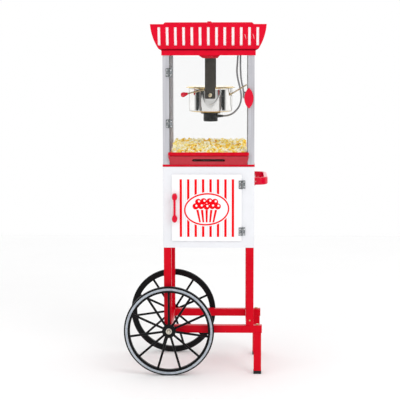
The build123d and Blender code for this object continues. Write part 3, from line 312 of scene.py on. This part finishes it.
def about_axle(material, spot, ribs, lean, depth):
    """Adds slanting ribs that run round the axle at spot, raised by depth millimetres."""
    nodes = material.node_tree.nodes
    links = material.node_tree.links
    shader = nodes["Principled BSDF"]
    place = nodes.new("ShaderNodeTexCoord")
    centred = nodes.new("ShaderNodeVectorMath")
    centred.operation = "SUBTRACT"
    centred.inputs[1].default_value = spot
    links.new(place.outputs["Object"], centred.inputs[0])
    parts = nodes.new("ShaderNodeSeparateXYZ")
    links.new(centred.outputs["Vector"], parts.inputs["Vector"])
    turn = nodes.new("ShaderNodeMath")
    turn.operation = "ARCTAN2"
    links.new(parts.outputs["Z"], turn.inputs[0])
    links.new(parts.outputs["X"], turn.inputs[1])
    reach = nodes.new("ShaderNodeVectorMath")
    reach.operation = "LENGTH"
    links.new(centred.outputs["Vector"], reach.inputs[0])
    slant = nodes.new("ShaderNodeMath")
    slant.operation = "MULTIPLY_ADD"
    slant.inputs[1].default_value = lean
    links.new(reach.outputs["Value"], slant.inputs[0])
    links.new(turn.outputs["Value"], slant.inputs[2])
    count = nodes.new("ShaderNodeMath")
    count.operation = "MULTIPLY"
    count.inputs[1].default_value = ribs
    links.new(slant.outputs["Value"], count.inputs[0])
    wave = nodes.new("ShaderNodeMath")
    wave.operation = "SINE"
    links.new(count.outputs["Value"], wave.inputs[0])
    relief = nodes.new("ShaderNodeBump")
    relief.inputs["Strength"].default_value = 0.8
    relief.inputs["Distance"].default_value = depth * MM
    links.new(wave.outputs["Value"], relief.inputs["Height"])
    links.new(relief.outputs["Normal"], shader.inputs["Normal"])


tyre_rubber = surface(
    "tyre_rubber", (0.004, 0.004, 0.005), (0.008, 0.008, 0.009), 240, (0.42, 0.6), 0.2, shine=0.12,
)
wheel_black = surface(
    "wheel_black", (0.003, 0.003, 0.004), (0.005, 0.005, 0.006), 120, (0.25, 0.4), 0.08, shine=0.12,
)
AXLE = [(low + high) / 2 for low, high in zip(*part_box("axle"))]
BAND_PROFILE = (
    (139.6, 0), (140.0, 1.0), (141.4, 1.9), (143.4, 2.2), (145.4, 1.9), (146.8, 1.0), (147.2, 0),
    (139.6, 0),
)
for end, side in (("front", -1), ("rear", 1)):
    coat(tyre_rubber, f"{end}_wheel_tyre")
    coat(wheel_black, f"{end}_wheel_rim", f"{end}_wheel_spider")
    band_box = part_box(f"{end}_wheel_band")
    band_face = band_box[0][1] if side < 0 else band_box[1][1]
    band = turned(f"{end}_whitewall", BAND_PROFILE, 180, ring=True)
    settle(band, (AXLE[0], band_face - side * 0.6 * MM, AXLE[2]), (0, side, 0))
    pale_band = surface(
        f"{end}_pale_band", (0.62, 0.70, 0.80), (0.84, 0.89, 0.96), 60, (0.22, 0.34), shine=0.6,
    )
    about_axle(pale_band, (AXLE[0], band_face, AXLE[2]), 130, 60, 0.9)
    band.data.materials.append(pale_band)
    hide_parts(f"{end}_wheel_band")
    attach(band, f"{end}_wheel")

nut_steel = surface(
    "plated_steel", (0.46, 0.42, 0.35), (0.74, 0.70, 0.62), 300, (0.16, 0.32), 0.05, metallic=1.0,
)
coat(nut_steel, "axle", "axle_nuts")


# Lower cabinet and its floor
# Folded steel sheet in gloss white enamel with a faint orange peel. The flanges are
# spot welded, so the outside is plain.

white_enamel = surface(
    "white_enamel", (0.75, 0.76, 0.79), (0.80, 0.81, 0.84), 9, (0.27, 0.34), 0.03, shine=0.35,
)
coat(white_enamel, "cabinet_shell", "cabinet_floor")


# Cabinet door
# A pressed steel door in the same enamel, a little whiter. A printed vinyl sheet
# carries red stripes with fine grey pinstripes between them, around a white oval.

STRIPES_LOW = Vector(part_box("door_transfer")[0])
STRIPES_HIGH = Vector(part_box("door_transfer")[1])
STRIPE_PITCH = 24.9 * MM
OVAL = (76.0 * MM, 54.5 * MM)


def node_math(material, operation, first, second=None, third=None):
    """One Math node, fed with links or numbers."""
    step = material.node_tree.nodes.new("ShaderNodeMath")
    step.operation = operation
    for socket, value in zip(step.inputs, (first, second, third)):
        if isinstance(value, bpy.types.NodeSocket):
            material.node_tree.links.new(value, socket)
        elif value is not None:
            socket.default_value = value
    return step.outputs["Value"]


def pinstriped(material, grey):
    """Adds pairs of fine vertical lines between the stripes, outside the oval."""
    nodes = material.node_tree.nodes
    links = material.node_tree.links
    shader = nodes["Principled BSDF"]
    place = nodes.new("ShaderNodeTexCoord")
    parts = nodes.new("ShaderNodeSeparateXYZ")
    links.new(place.outputs["Object"], parts.inputs["Vector"])
    across = node_math(material, "SUBTRACT", parts.outputs["X"], STRIPES_LOW.x + 4 * MM)
    phase = node_math(material, "FRACT", node_math(material, "DIVIDE", across, STRIPE_PITCH))
    off_middle = node_math(material, "ABSOLUTE", node_math(material, "SUBTRACT", phase, 0.5))
    line = node_math(material, "COMPARE", off_middle, 0.12, 0.022)
    middle = (STRIPES_LOW + STRIPES_HIGH) / 2
    tall = (STRIPES_HIGH.z - STRIPES_LOW.z) / 2
    wide = (STRIPES_HIGH.x - STRIPES_LOW.x) / 2
    in_height = node_math(material, "COMPARE", parts.outputs["Z"], middle.z, tall)
    in_width = node_math(material, "COMPARE", parts.outputs["X"], middle.x, wide)
    oval_z = 565.0 * MM
    reach_x = node_math(
        material, "DIVIDE", node_math(material, "SUBTRACT", parts.outputs["X"], middle.x), OVAL[0],
    )
    reach_z = node_math(
        material, "DIVIDE", node_math(material, "SUBTRACT", parts.outputs["Z"], oval_z), OVAL[1],
    )
    square = node_math(material, "MULTIPLY", reach_x, reach_x)
    reach = node_math(material, "MULTIPLY_ADD", reach_z, reach_z, square)
    outside = node_math(material, "GREATER_THAN", reach, 1.08)
    printed = node_math(material, "MULTIPLY", node_math(material, "MULTIPLY", line, in_height), in_width)
    printed = node_math(material, "MULTIPLY", printed, outside)
    base = shader.inputs["Base Color"].links[0].from_socket
    ink = nodes.new("ShaderNodeMixRGB")
    ink.inputs["Color2"].default_value = (*grey, 1)
    links.new(printed, ink.inputs["Fac"])
    links.new(base, ink.inputs["Color1"])
    links.new(ink.outputs["Color"], shader.inputs["Base Color"])


door_enamel = surface(
    "door_enamel", (0.86, 0.86, 0.88), (0.89, 0.89, 0.90), 9, (0.27, 0.34), 0.03, shine=0.35,
)
pinstriped(door_enamel, (0.66, 0.62, 0.63))
coat(door_enamel, "cabinet_door")
red_vinyl = surface(
    "red_vinyl", (0.80, 0.0, 0.004), (0.84, 0.001, 0.007), 150, (0.35, 0.48), 0.05, shine=0.05,
)
coat(red_vinyl, "door_transfer")


# Handles
# Glossy crimson plastic: the door's bar handle, the looped push handle and the lens
# shaped grip of the clear door.

red_gloss = surface(
    "red_plastic", (0.62, 0.0, 0.022), (0.72, 0.001, 0.028), 70, (0.12, 0.2), 0.03, coat=0.05, shine=0.22,
)
coat(red_gloss, "door_handle", "push_handle", "pane_handle")
coat(nut_steel, "push_handle_screws")


# Hinges
# Plated steel butt hinges with a dark wash in random patches. Each leaf is held by
# two pan-head screws.

hinge_plate = surface(
    "hinge_plate", (0.10, 0.12, 0.13), (0.55, 0.57, 0.58), 210, (0.12, 0.3), 0.08, metallic=1.0,
)
coat(hinge_plate, "cabinet_hinge_leaves", "door_hinge_leaves", "post_hinge_leaves", "pane_hinge_leaves")
SCREW_PROFILE = ((2.5, -0.4), (2.5, 0.5), (2.1, 1.0), (1.5, 1.3), (1.0, 1.35), (0.9, 0.7), (0.3, 0.5))
SCREW_RISES = (6.0, 22.0)


def leaf_screws(name, leaves, side, body):
    """Two screws on each of a node's leaves, on the given side of the hinge pin."""
    low, high = (Vector(corner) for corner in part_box(leaves))
    middle_x = low.x + 4.5 * MM if side < 0 else high.x - 4.5 * MM
    heads = []
    for base in (low.z, high.z - 28 * MM):
        for rise in SCREW_RISES:
            head = turned(name, SCREW_PROFILE, 20)
            face_y = LEAF_FACES[leaves]
            settle(head, (middle_x, face_y * MM, base + rise * MM), (0, -1, 0))
            heads.append(head)
    screws = joined(name, heads)
    screws.data.materials.append(screw_steel)
    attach(screws, body)


LEAF_FACES = {
    "cabinet_hinge_leaves": -154.2,
    "door_hinge_leaves": -159.7,
    "post_hinge_leaves": -153.7,
    "pane_hinge_leaves": -157.4,
}
screw_steel = surface(
    "screw_steel", (0.66, 0.67, 0.68), (0.86, 0.87, 0.87), 500, (0.12, 0.22), 0.05, metallic=1.0,
)
leaf_screws("cabinet_leaf_screws", "cabinet_hinge_leaves", 1, "root")
leaf_screws("door_leaf_screws", "door_hinge_leaves", -1, "cabinet_door")
leaf_screws("post_leaf_screws", "post_hinge_leaves", -1, "root")
leaf_screws("pane_leaf_screws", "pane_hinge_leaves", 1, "clear_door")

black_plastic = surface(
    "black_plastic", (0.008, 0.008, 0.008), (0.018, 0.018, 0.018), 400, (0.35, 0.5), 0.2, shine=0.35,
)
coat(black_plastic, "magnetic_catch", "switch_plate", "mains_gland")


# Popper base, deck and drawer
# Red coated steel: a shallow base, a perforated deck with a front lip, and a drawer
# below it whose duller front leans out and has a finger slot.

tray_red = surface("tray_red", (0.58, 0.0, 0.012), (0.66, 0.001, 0.018), 40, (0.22, 0.32), 0.05, shine=0.12)
coat(tray_red, "popper_base", "popcorn_deck")
# The drawer front's satin gloss is real; the pink cast in its red is a painted reflection of the pale floor.
drawer_red_and_painted_reflection = surface(
    "drawer_red_and_painted_reflection", (0.42, 0.018, 0.030), (0.50, 0.026, 0.042), 60, (0.3, 0.42), 0.05, shine=0.3,
)
coat(drawer_red_and_painted_reflection, "kernel_drawer")


# Corner posts
# Anodised aluminium angle with fine drawn lines along its length. A dark rubber
# gasket runs down the inner edge of each front post.

drawn = surface(
    "drawn_aluminium",
    (0.44, 0.44, 0.47),
    (0.62, 0.62, 0.66),
    160,
    (0.34, 0.46),
    0.08,
    metallic=0.25,
    stretch=(1, 1, 0.02),
)
coat(drawn, "corner_posts")
ceiling_steel = surface(
    "ceiling_steel", (0.60, 0.60, 0.60), (0.74, 0.74, 0.74), 60, (0.3, 0.45), 0.05, metallic=0.5,
)
coat(ceiling_steel, "ceiling_plate")

POST_LOW = Vector(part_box("corner_posts")[0])
POST_HIGH = Vector(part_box("corner_posts")[1])
POST_WIDTH = 22 * MM
GASKET = 2.2 * MM
gaskets = []
for side in (-1, 1):
    deselect()
    edge = CART_X + side * ((POST_HIGH.x - POST_LOW.x) / 2 - POST_WIDTH - GASKET / 2)
    middle = (edge, POST_LOW.y + GASKET, (POST_LOW.z + POST_HIGH.z) / 2)
    bpy.ops.mesh.primitive_cube_add(size=1, location=middle)
    gasket = bpy.context.active_object
    gasket.scale = (GASKET, 1.6 * GASKET, POST_HIGH.z - POST_LOW.z - 2 * MM)
    bpy.ops.object.transform_apply()
    bpy.ops.object.mode_set(mode="EDIT")
    bpy.ops.mesh.select_all(action="SELECT")
    bpy.ops.mesh.bevel(offset=0.5 * MM, segments=2)
    bpy.ops.object.mode_set(mode="OBJECT")
    bpy.ops.object.shade_smooth_by_angle(angle=math.radians(38))
    gaskets.append(gasket)
gasket = joined("post_gaskets", gaskets)
gasket_rubber = surface("gasket_rubber", (0.035, 0.033, 0.028), (0.11, 0.10, 0.08), 90, (0.45, 0.6), 0.1)
gasket.data.materials.append(gasket_rubber)
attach(gasket, "root")


# Clear panes
# Tempered glass with polished edges: nearly all the light goes straight through, with
# a trace of smear that changes its gloss.


def clear_pane(name):
    """Thin clear sheet."""
    material = surface(name, (0.30, 0.34, 0.34), (0.36, 0.40, 0.40), 14, (0.01, 0.05), shine=0.5)
    material.node_tree.nodes["Principled BSDF"].inputs["Alpha"].default_value = 0.022
    return material


glass = clear_pane("clear_pane")
coat(glass, "fixed_panes", "front_pane")


# Canopy
# Red moulded plastic with upright slots, over a white liner that shows through them.
# Its lamp is inside, above the ceiling.

def painted_overhang_shadow(material, shade, height, reach):
    """Paints shadow into the colour as a dark band at this height, under the awning's overhang."""
    nodes = material.node_tree.nodes
    links = material.node_tree.links
    shader = nodes["Principled BSDF"]
    place = nodes.new("ShaderNodeTexCoord")
    parts = nodes.new("ShaderNodeSeparateXYZ")
    links.new(place.outputs["Object"], parts.inputs["Vector"])
    amount = node_math(material, "COMPARE", parts.outputs["Z"], height, reach)
    base = shader.inputs["Base Color"].links[0].from_socket
    tint = nodes.new("ShaderNodeMixRGB")
    tint.inputs["Color2"].default_value = (*shade, 1)
    links.new(amount, tint.inputs["Fac"])
    links.new(base, tint.inputs["Color1"])
    links.new(tint.outputs["Color"], shader.inputs["Base Color"])


canopy_red = surface(
    "canopy_red", (0.66, 0.0, 0.018), (0.73, 0.001, 0.024), 25, (0.24, 0.34), 0.03, shine=0.10,
)
SKIRT_TOP = 1093.6 * MM
# Painted shadow: a dark red band in the canopy's colour just above the skirt, where the awning overhangs it.
painted_overhang_shadow(canopy_red, (0.22, 0.0, 0.006), SKIRT_TOP + 2.6 * MM, 2.4 * MM)
coat(canopy_red, "canopy_shell")
coat(tray_red, "yoke_mount")
coat(red_gloss, "kettle_rocker", "light_rocker")
liner_white = surface("liner_white", (0.93, 0.92, 0.92), (0.97, 0.96, 0.96), 60, (0.4, 0.5), 0.03)
coat(liner_white, "canopy_liner")
lamp_glass = surface("lamp_glass", (0.90, 0.86, 0.74), (0.96, 0.92, 0.82), 40, (0.1, 0.2), 0.02)
coat(lamp_glass, "lamp")


# Yoke
# Two dark steel straps from the ceiling that carry the kettle's pivots.

yoke_steel = surface(
    "yoke_steel", (0.034, 0.029, 0.022), (0.056, 0.048, 0.038), 160, (0.35, 0.5), 0.1,
    metallic=0.3, shine=0.2,
)
coat(yoke_steel, "kettle_yoke")


# Kettle
# Spun stainless steel with a rolled brim, polished bright and tinted straw yellow by
# heat at the brim and round the foot. Brass pivot pins go through the straps.

KETTLE_LOW = Vector(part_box("kettle")[0])
KETTLE_HIGH = Vector(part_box("kettle")[1])
KETTLE_X = (KETTLE_LOW.x + KETTLE_HIGH.x) / 2
KETTLE_FOOT = KETTLE_LOW.z
BOWL_DEPTH = 84.5
BOWL_PROFILE = (
    (5, 0),
    (60, 0),
    (68, 0.1),
    (72, 1.2),
    (74.2, 3.4),
    (75, 6.5),
    (75, 76),
    (75.6, 79.5),
    (77.5, 81.6),
    (80.5, 82.0),
    (83.4, 81.4),
    (84.8, 82.3),
    (85, 83.5),
    (84.3, BOWL_DEPTH),
    (82.5, BOWL_DEPTH),
    (79, 83.6),
    (76, 83.3),
    (74.2, 81.6),
    (73.6, 78),
    (73.5, 6.8),
    (72.6, 3.8),
    (70, 2),
    (60, 1.5),
    (5, 1.5),
    (5, 0),
)
PIN_PROFILE = (
    (9, -0.8),
    (9, 4.8),
    (8, 6),
    (4, 6),
    (4, 16.6),
    (6.5, 16.6),
    (6.5, 18.6),
    (5.6, 19.3),
    (2.2, 19.5),
    (2, 18.7),
    (0.4, 18.6),
)
PIVOT_Z = 943 * MM
WALL_R = 74 * MM


def heat_tint(material, straw, low, high):
    """Lays a straw colour over the steel near the heights low and high."""
    nodes = material.node_tree.nodes
    links = material.node_tree.links
    shader = nodes["Principled BSDF"]
    place = nodes.new("ShaderNodeTexCoord")
    parts = nodes.new("ShaderNodeSeparateXYZ")
    links.new(place.outputs["Object"], parts.inputs["Vector"])
    foot = node_math(material, "COMPARE", parts.outputs["Z"], low, 3.5 * MM)
    brim = node_math(material, "COMPARE", parts.outputs["Z"], high, 4 * MM)
    amount = node_math(material, "MULTIPLY", node_math(material, "ADD", foot, brim), 0.8)
    base = shader.inputs["Base Color"].links[0].from_socket
    tint = nodes.new("ShaderNodeMixRGB")
    tint.inputs["Color2"].default_value = (*straw, 1)
    links.new(amount, tint.inputs["Fac"])
    links.new(base, tint.inputs["Color1"])
    links.new(tint.outputs["Color"], shader.inputs["Base Color"])


bowl_steel = surface(
    "bowl_steel", (0.70, 0.69, 0.67), (0.82, 0.81, 0.79), 30, (0.04, 0.09), 0.01, metallic=1.0,
)
heat_tint(bowl_steel, (0.80, 0.60, 0.24), KETTLE_FOOT, KETTLE_FOOT + BOWL_DEPTH * MM)
bowl = turned("kettle_bowl", BOWL_PROFILE, 128, ring=True)
settle(bowl, (KETTLE_X, 0, KETTLE_FOOT))
bowl.data.materials.append(bowl_steel)
pin_brass = surface("pin_brass", (0.46, 0.36, 0.20), (0.74, 0.64, 0.46), 200, (0.2, 0.35), 0.05, metallic=1.0)
pins = []
for side in (-1, 1):
    pin = turned("pin", PIN_PROFILE, 32)
    settle(pin, (KETTLE_X, side * WALL_R, PIVOT_Z), (0, side, 0))
    pins.append(pin)
pin = joined("kettle_pivots", pins)
pin.data.materials.append(pin_brass)
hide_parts("kettle")
for piece in (bowl, pin):
    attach(piece, "kettle")

coat(bowl_steel, "stirrer")


# Kettle spring clip
# A bent steel wire that stands just clear of the kettle's front wall, from under the
# brim to half way down.

BOWL_R = 75
CLIP_R = 1.1
CLIP_GAP = 1.6
CLIP_BENDS = (
    (16, 966), (24, 967.5), (33, 962), (38, 952), (34, 943), (26, 932), (19, 921), (12, 914),
    (4, 911), (-2, 912),
)
clip_curve = bpy.data.curves.new("kettle_clip", "CURVE")
clip_curve.dimensions = "3D"
clip_curve.resolution_u = 6
clip_line = clip_curve.splines.new("NURBS")
clip_line.points.add(len(CLIP_BENDS) - 1)
for control, (x, z) in zip(clip_line.points, CLIP_BENDS):
    stand_off = math.sqrt((BOWL_R + CLIP_R + CLIP_GAP) ** 2 - x**2)
    control.co = (KETTLE_X + x * MM, -stand_off * MM, z * MM, 1)
clip_line.order_u = 3
clip_line.use_endpoint_u = True
clip_curve.bevel_depth = CLIP_R * MM
clip_curve.bevel_resolution = 3
clip_curve.use_fill_caps = True
clip = bpy.data.objects.new("kettle_clip", clip_curve)
bpy.context.scene.collection.objects.link(clip)
deselect()
clip.select_set(True)
bpy.context.view_layer.objects.active = clip
bpy.ops.object.convert(target="MESH")
clip = bpy.context.active_object
bpy.ops.object.shade_smooth()
clip.data.materials.append(screw_steel)
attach(clip, "kettle")


# Lids
# Two half lids and the bar between them, straw coloured from the heat.

warm_steel = surface(
    "warm_steel", (0.70, 0.52, 0.20), (0.88, 0.76, 0.48), 40, (0.1, 0.22), 0.02, metallic=1.0,
)
coat(warm_steel, "left_lid", "right_lid", "lid_bar")


# Heater housing and strain relief
# A black phenolic cover, screwed under the kettle. The lead
# goes into a ribbed rubber relief on its right.

HOUSING_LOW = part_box("heater_housing")[0][2]
COVER_PROFILE = (
    (22.6, 0),
    (24.0, 0.5),
    (24.5, 1.8),
    (24.5, 25.5),
    (25.4, 27),
    (33, 27),
    (34, 28),
    (34, 33.3),
)
cover = turned("heater_cover", COVER_PROFILE, 72)
settle(cover, (KETTLE_X, 0, HOUSING_LOW))
phenolic = surface(
    "black_phenolic", (0.004, 0.004, 0.004), (0.012, 0.012, 0.012), 300, (0.3, 0.45), 0.1, shine=0.2,
)
cover.data.materials.append(phenolic)
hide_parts("heater_housing")
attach(cover, "kettle")

RELIEF_LOW, RELIEF_HIGH = (Vector(corner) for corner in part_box("strain_relief"))
RELIEF_LENGTH = (RELIEF_HIGH.x - RELIEF_LOW.x) / MM
RIBS = 5
relief_profile = [(6, 0), (6, 3)]
for rib in range(RIBS):
    start = 4 + rib * (RELIEF_LENGTH - 4) / RIBS
    outer = 5.8 - 0.4 * rib
    relief_profile += [
        (outer - 1, start), (outer, start + 0.6), (outer, start + 1.7), (outer - 1, start + 2.3),
    ]
relief_profile.append((3.3, RELIEF_LENGTH))
relief = turned("ribbed_relief", relief_profile, 28)
settle(relief, (RELIEF_LOW.x, 0, (RELIEF_LOW.z + RELIEF_HIGH.z) / 2), (1, 0, 0))
relief.data.materials.append(black_plastic)
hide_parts("strain_relief")
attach(relief, "kettle")


# Dump rod, stop arm and knob
# Straight steel rods screwed into the kettle's wall. The longer one ends in a glossy
# red teardrop knob.

coat(pin_brass, "kettle_rods")
ROD_ROOT = Vector((KETTLE_X - 18 * MM, -76.5 * MM, 961.5 * MM))
KNOB_MIDDLE = Vector((CART_X - 88 * MM, -50 * MM, PIVOT_Z))
KNOB_BASE = 17.4 * MM
KNOB_PROFILE = (
    (3.0, 0),
    (3.6, 0.8),
    (4.6, 3.5),
    (6.2, 8),
    (7.7, 12.5),
    (8.4, 16.5),
    (8.4, 18.5),
    (7.7, 21.4),
    (6.2, 23.8),
    (4.0, 25.3),
    (1.6, 25.9),
    (0.3, 26),
)
rod_way = (KNOB_MIDDLE - ROD_ROOT).normalized()
knob = turned("teardrop_knob", KNOB_PROFILE, 40)
settle(knob, KNOB_MIDDLE - rod_way * KNOB_BASE, rod_way)
knob.data.materials.append(red_gloss)
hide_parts("dump_knob")
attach(knob, "kettle")


# Popcorn
# Butterfly flakes on a heap: each is a few puffed lobes round a brown hull, so white
# and buttery yellow lie side by side.

HEAP_LOW, HEAP_HIGH = (Vector(corner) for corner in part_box("popcorn_heap"))
HEAP_TOP = ((-148.5, 746), (-120, 754), (-20, 763), (144.5, 770))
FLAKE_KINDS = 6
LOBES = 4
SIDE_GAP = 4 * MM
END_GAP = 5 * MM
LAYER_RISE = 4
FLAKE_JITTER = (-3.0, 2.5)
FLAKE_SCALE = (1.2, 1.75)
COLUMNS = 17
ROWS = 19
LAYERS = 2
random.seed(7)


def flake_kind():
    """One flake: low round lobes that lean out from a middle, joined as one mesh."""
    lobes = []
    for lobe in range(LOBES):
        angle = lobe * 2 * math.pi / LOBES + random.uniform(-0.5, 0.5)
        reach = random.uniform(2.2, 3.6) * MM
        spot = (reach * math.cos(angle), reach * math.sin(angle), random.uniform(-1.5, 2.5) * MM)
        deselect()
        bpy.ops.mesh.primitive_ico_sphere_add(
            subdivisions=1, radius=random.uniform(2.7, 4.0) * MM, location=spot,
        )
        puff = bpy.context.active_object
        puff.scale = (random.uniform(0.8, 1.2), random.uniform(0.8, 1.2), random.uniform(0.75, 1.1))
        puff.rotation_euler = (random.uniform(0, 3), random.uniform(0, 3), random.uniform(0, 3))
        bpy.ops.object.transform_apply()
        lobes.append(puff)
    return joined("flake", lobes)


def heap_height(y):
    """The height of the heap's surface at this depth, all in metres."""
    for (first_y, first_z), (next_y, next_z) in zip(HEAP_TOP, HEAP_TOP[1:]):
        if y <= next_y * MM:
            break
    share = (y / MM - first_y) / (next_y - first_y)
    return (first_z + share * (next_z - first_z)) * MM


kinds = [flake_kind() for kind in range(FLAKE_KINDS)]
heap_mesh = bmesh.new()
tint_layer = heap_mesh.verts.layers.float.new("flake_tint")
done = 0
for layer in range(LAYERS):
    for column in range(COLUMNS):
        for row in range(ROWS):
            across = (column + random.uniform(0.1, 0.9)) / COLUMNS
            back = (row + random.uniform(0.1, 0.9)) / ROWS
            x = HEAP_LOW.x + SIDE_GAP + across * (HEAP_HIGH.x - HEAP_LOW.x - 2 * SIDE_GAP)
            y = HEAP_LOW.y + END_GAP + back * (HEAP_HIGH.y - HEAP_LOW.y - 2 * END_GAP)
            rise = heap_height(y) + LAYER_RISE * layer * MM
            z = rise + random.uniform(*FLAKE_JITTER) * MM
            turn = Euler([random.uniform(0, 2 * math.pi) for axis in range(3)]).to_matrix().to_4x4()
            size = Matrix.Scale(random.uniform(*FLAKE_SCALE), 4)
            flake = random.choice(kinds).data.copy()
            flake.transform(Matrix.Translation((x, y, z)) @ turn @ size)
            heap_mesh.from_mesh(flake)
            bpy.data.meshes.remove(flake)
            heap_mesh.verts.ensure_lookup_table()
            tint = random.random()
            for vertex in heap_mesh.verts[done:]:
                vertex[tint_layer] = tint
            done = len(heap_mesh.verts)
flakes = bpy.data.objects.new("popcorn_flakes", bpy.data.meshes.new("popcorn_flakes"))
bpy.context.scene.collection.objects.link(flakes)
heap_mesh.to_mesh(flakes.data)
heap_mesh.free()
deselect()
for kind in kinds:
    kind.select_set(True)
bpy.ops.object.delete()
flakes.select_set(True)
bpy.context.view_layer.objects.active = flakes
bpy.ops.object.shade_smooth()


def puffed(name):
    """Puffed corn: white foam, butter yellow in patches, and a few brown bits of hull."""
    material = bpy.data.materials.new(name)
    material.use_nodes = True
    nodes = material.node_tree.nodes
    links = material.node_tree.links
    shader = nodes["Principled BSDF"]
    shader.inputs["Roughness"].default_value = 0.7
    shader.inputs["Specular IOR Level"].default_value = 0.2
    place = nodes.new("ShaderNodeTexCoord")
    patch = nodes.new("ShaderNodeTexNoise")
    patch.inputs["Scale"].default_value = 95
    patch.inputs["Detail"].default_value = 3
    links.new(place.outputs["Object"], patch.inputs["Vector"])
    own = nodes.new("ShaderNodeAttribute")
    own.attribute_name = "flake_tint"
    blend = node_math(material, "MULTIPLY_ADD", own.outputs["Fac"], 0.50, patch.outputs["Fac"])
    butter = nodes.new("ShaderNodeValToRGB")
    stops = (
        (0.40, (0.45, 0.14, 0.01)), (0.47, (0.95, 0.52, 0.02)), (0.64, (1.0, 0.78, 0.11)),
        (0.84, (1.0, 0.97, 0.74)),
    )
    butter.color_ramp.elements.new(0.5)
    butter.color_ramp.elements.new(0.6)
    for element, (position, colour) in zip(butter.color_ramp.elements, stops):
        element.position = position
        element.color = (*colour, 1)
    links.new(blend, butter.inputs["Fac"])
    links.new(butter.outputs["Color"], shader.inputs["Base Color"])
    gloss = nodes.new("ShaderNodeMapRange")
    gloss.inputs["To Min"].default_value = 0.55
    gloss.inputs["To Max"].default_value = 0.85
    links.new(patch.outputs["Fac"], gloss.inputs["Value"])
    links.new(gloss.outputs["Result"], shader.inputs["Roughness"])
    foam = nodes.new("ShaderNodeTexNoise")
    foam.inputs["Scale"].default_value = 600
    links.new(place.outputs["Object"], foam.inputs["Vector"])
    relief = nodes.new("ShaderNodeBump")
    relief.inputs["Strength"].default_value = 0.6
    relief.inputs["Distance"].default_value = 0.8 * MM
    links.new(foam.outputs["Fac"], relief.inputs["Height"])
    links.new(relief.outputs["Normal"], shader.inputs["Normal"])
    return material


puffed_corn = puffed("puffed_corn")
flakes.data.materials.append(puffed_corn)
coat(surface("buttered_heap", (0.80, 0.45, 0.05), (1.0, 0.80, 0.30), 120, (0.6, 0.8), 0.4), "popcorn_heap")
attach(flakes, "root")


# Floor and light
# A plain pale floor under a soft white surround that darkens gently at two sides, with
# one large soft light at the upper right and a weaker one at the left.

FLOOR_HALF = 3.0
deselect()
bpy.ops.mesh.primitive_plane_add(size=2 * FLOOR_HALF, location=(0, 0, 0))
floor = bpy.context.active_object
floor.name = "floor"
floor.data.materials.append(
    surface("pale_floor", (0.95, 0.95, 0.95), (0.97, 0.97, 0.97), 2, (0.6, 0.8), shine=0.1),
)

world = bpy.data.worlds.new("studio")
bpy.context.scene.world = world
world.use_nodes = True
sky = world.node_tree.nodes
wires = world.node_tree.links
way = sky.new("ShaderNodeTexCoord")
compass = sky.new("ShaderNodeSeparateXYZ")
wires.new(way.outputs["Generated"], compass.inputs["Vector"])
bearing = sky.new("ShaderNodeMath")
bearing.operation = "ARCTAN2"
wires.new(compass.outputs["X"], bearing.inputs[0])
wires.new(compass.outputs["Y"], bearing.inputs[1])
share = sky.new("ShaderNodeMapRange")
share.inputs["From Min"].default_value = -math.pi
share.inputs["From Max"].default_value = math.pi
wires.new(bearing.outputs["Value"], share.inputs["Value"])
walls = sky.new("ShaderNodeValToRGB")
WALL_STOPS = (
    (0.0, 0.75),
    (0.07, 0.75),
    (0.10, 0.02),
    (0.22, 0.02),
    (0.27, 1.3),
    (0.74, 1.3),
    (0.78, 0.02),
    (0.88, 0.02),
    (0.91, 0.75),
    (1.0, 0.75),
)
for stop in WALL_STOPS[2:]:
    walls.color_ramp.elements.new(0.5)
for element, (position, grey) in zip(walls.color_ramp.elements, WALL_STOPS):
    element.position = position
    element.color = (grey, grey, grey, 1)
wires.new(share.outputs["Result"], walls.inputs["Fac"])
seen = sky.new("ShaderNodeLightPath")
shown = sky.new("ShaderNodeMixRGB")
shown.inputs["Color2"].default_value = (1, 1, 1, 1)
wires.new(seen.outputs["Is Glossy Ray"], shown.inputs["Fac"])
shown.inputs["Color1"].default_value = (1, 1, 1, 1)
wires.new(walls.outputs["Color"], shown.inputs["Color2"])
wires.new(shown.outputs["Color"], sky["Background"].inputs["Color"])
sky["Background"].inputs["Strength"].default_value = 1.0


def soft_light(name, place, target, size, power):
    """A square area light at place, turned to face target."""
    light_data = bpy.data.lights.new(name, "AREA")
    light_data.size = size
    light_data.energy = power
    light = bpy.data.objects.new(name, light_data)
    light.location = place
    light.rotation_euler = (Vector(target) - Vector(place)).to_track_quat("-Z", "Y").to_euler()
    bpy.context.scene.collection.objects.link(light)


soft_light("key_light", (1.8, -2.8, 2.8), (0, 0, 0.6), 1.6, 28)
soft_light("fill_light", (-2.4, -2.2, 1.4), (0, 0, 0.6), 2.0, 6)
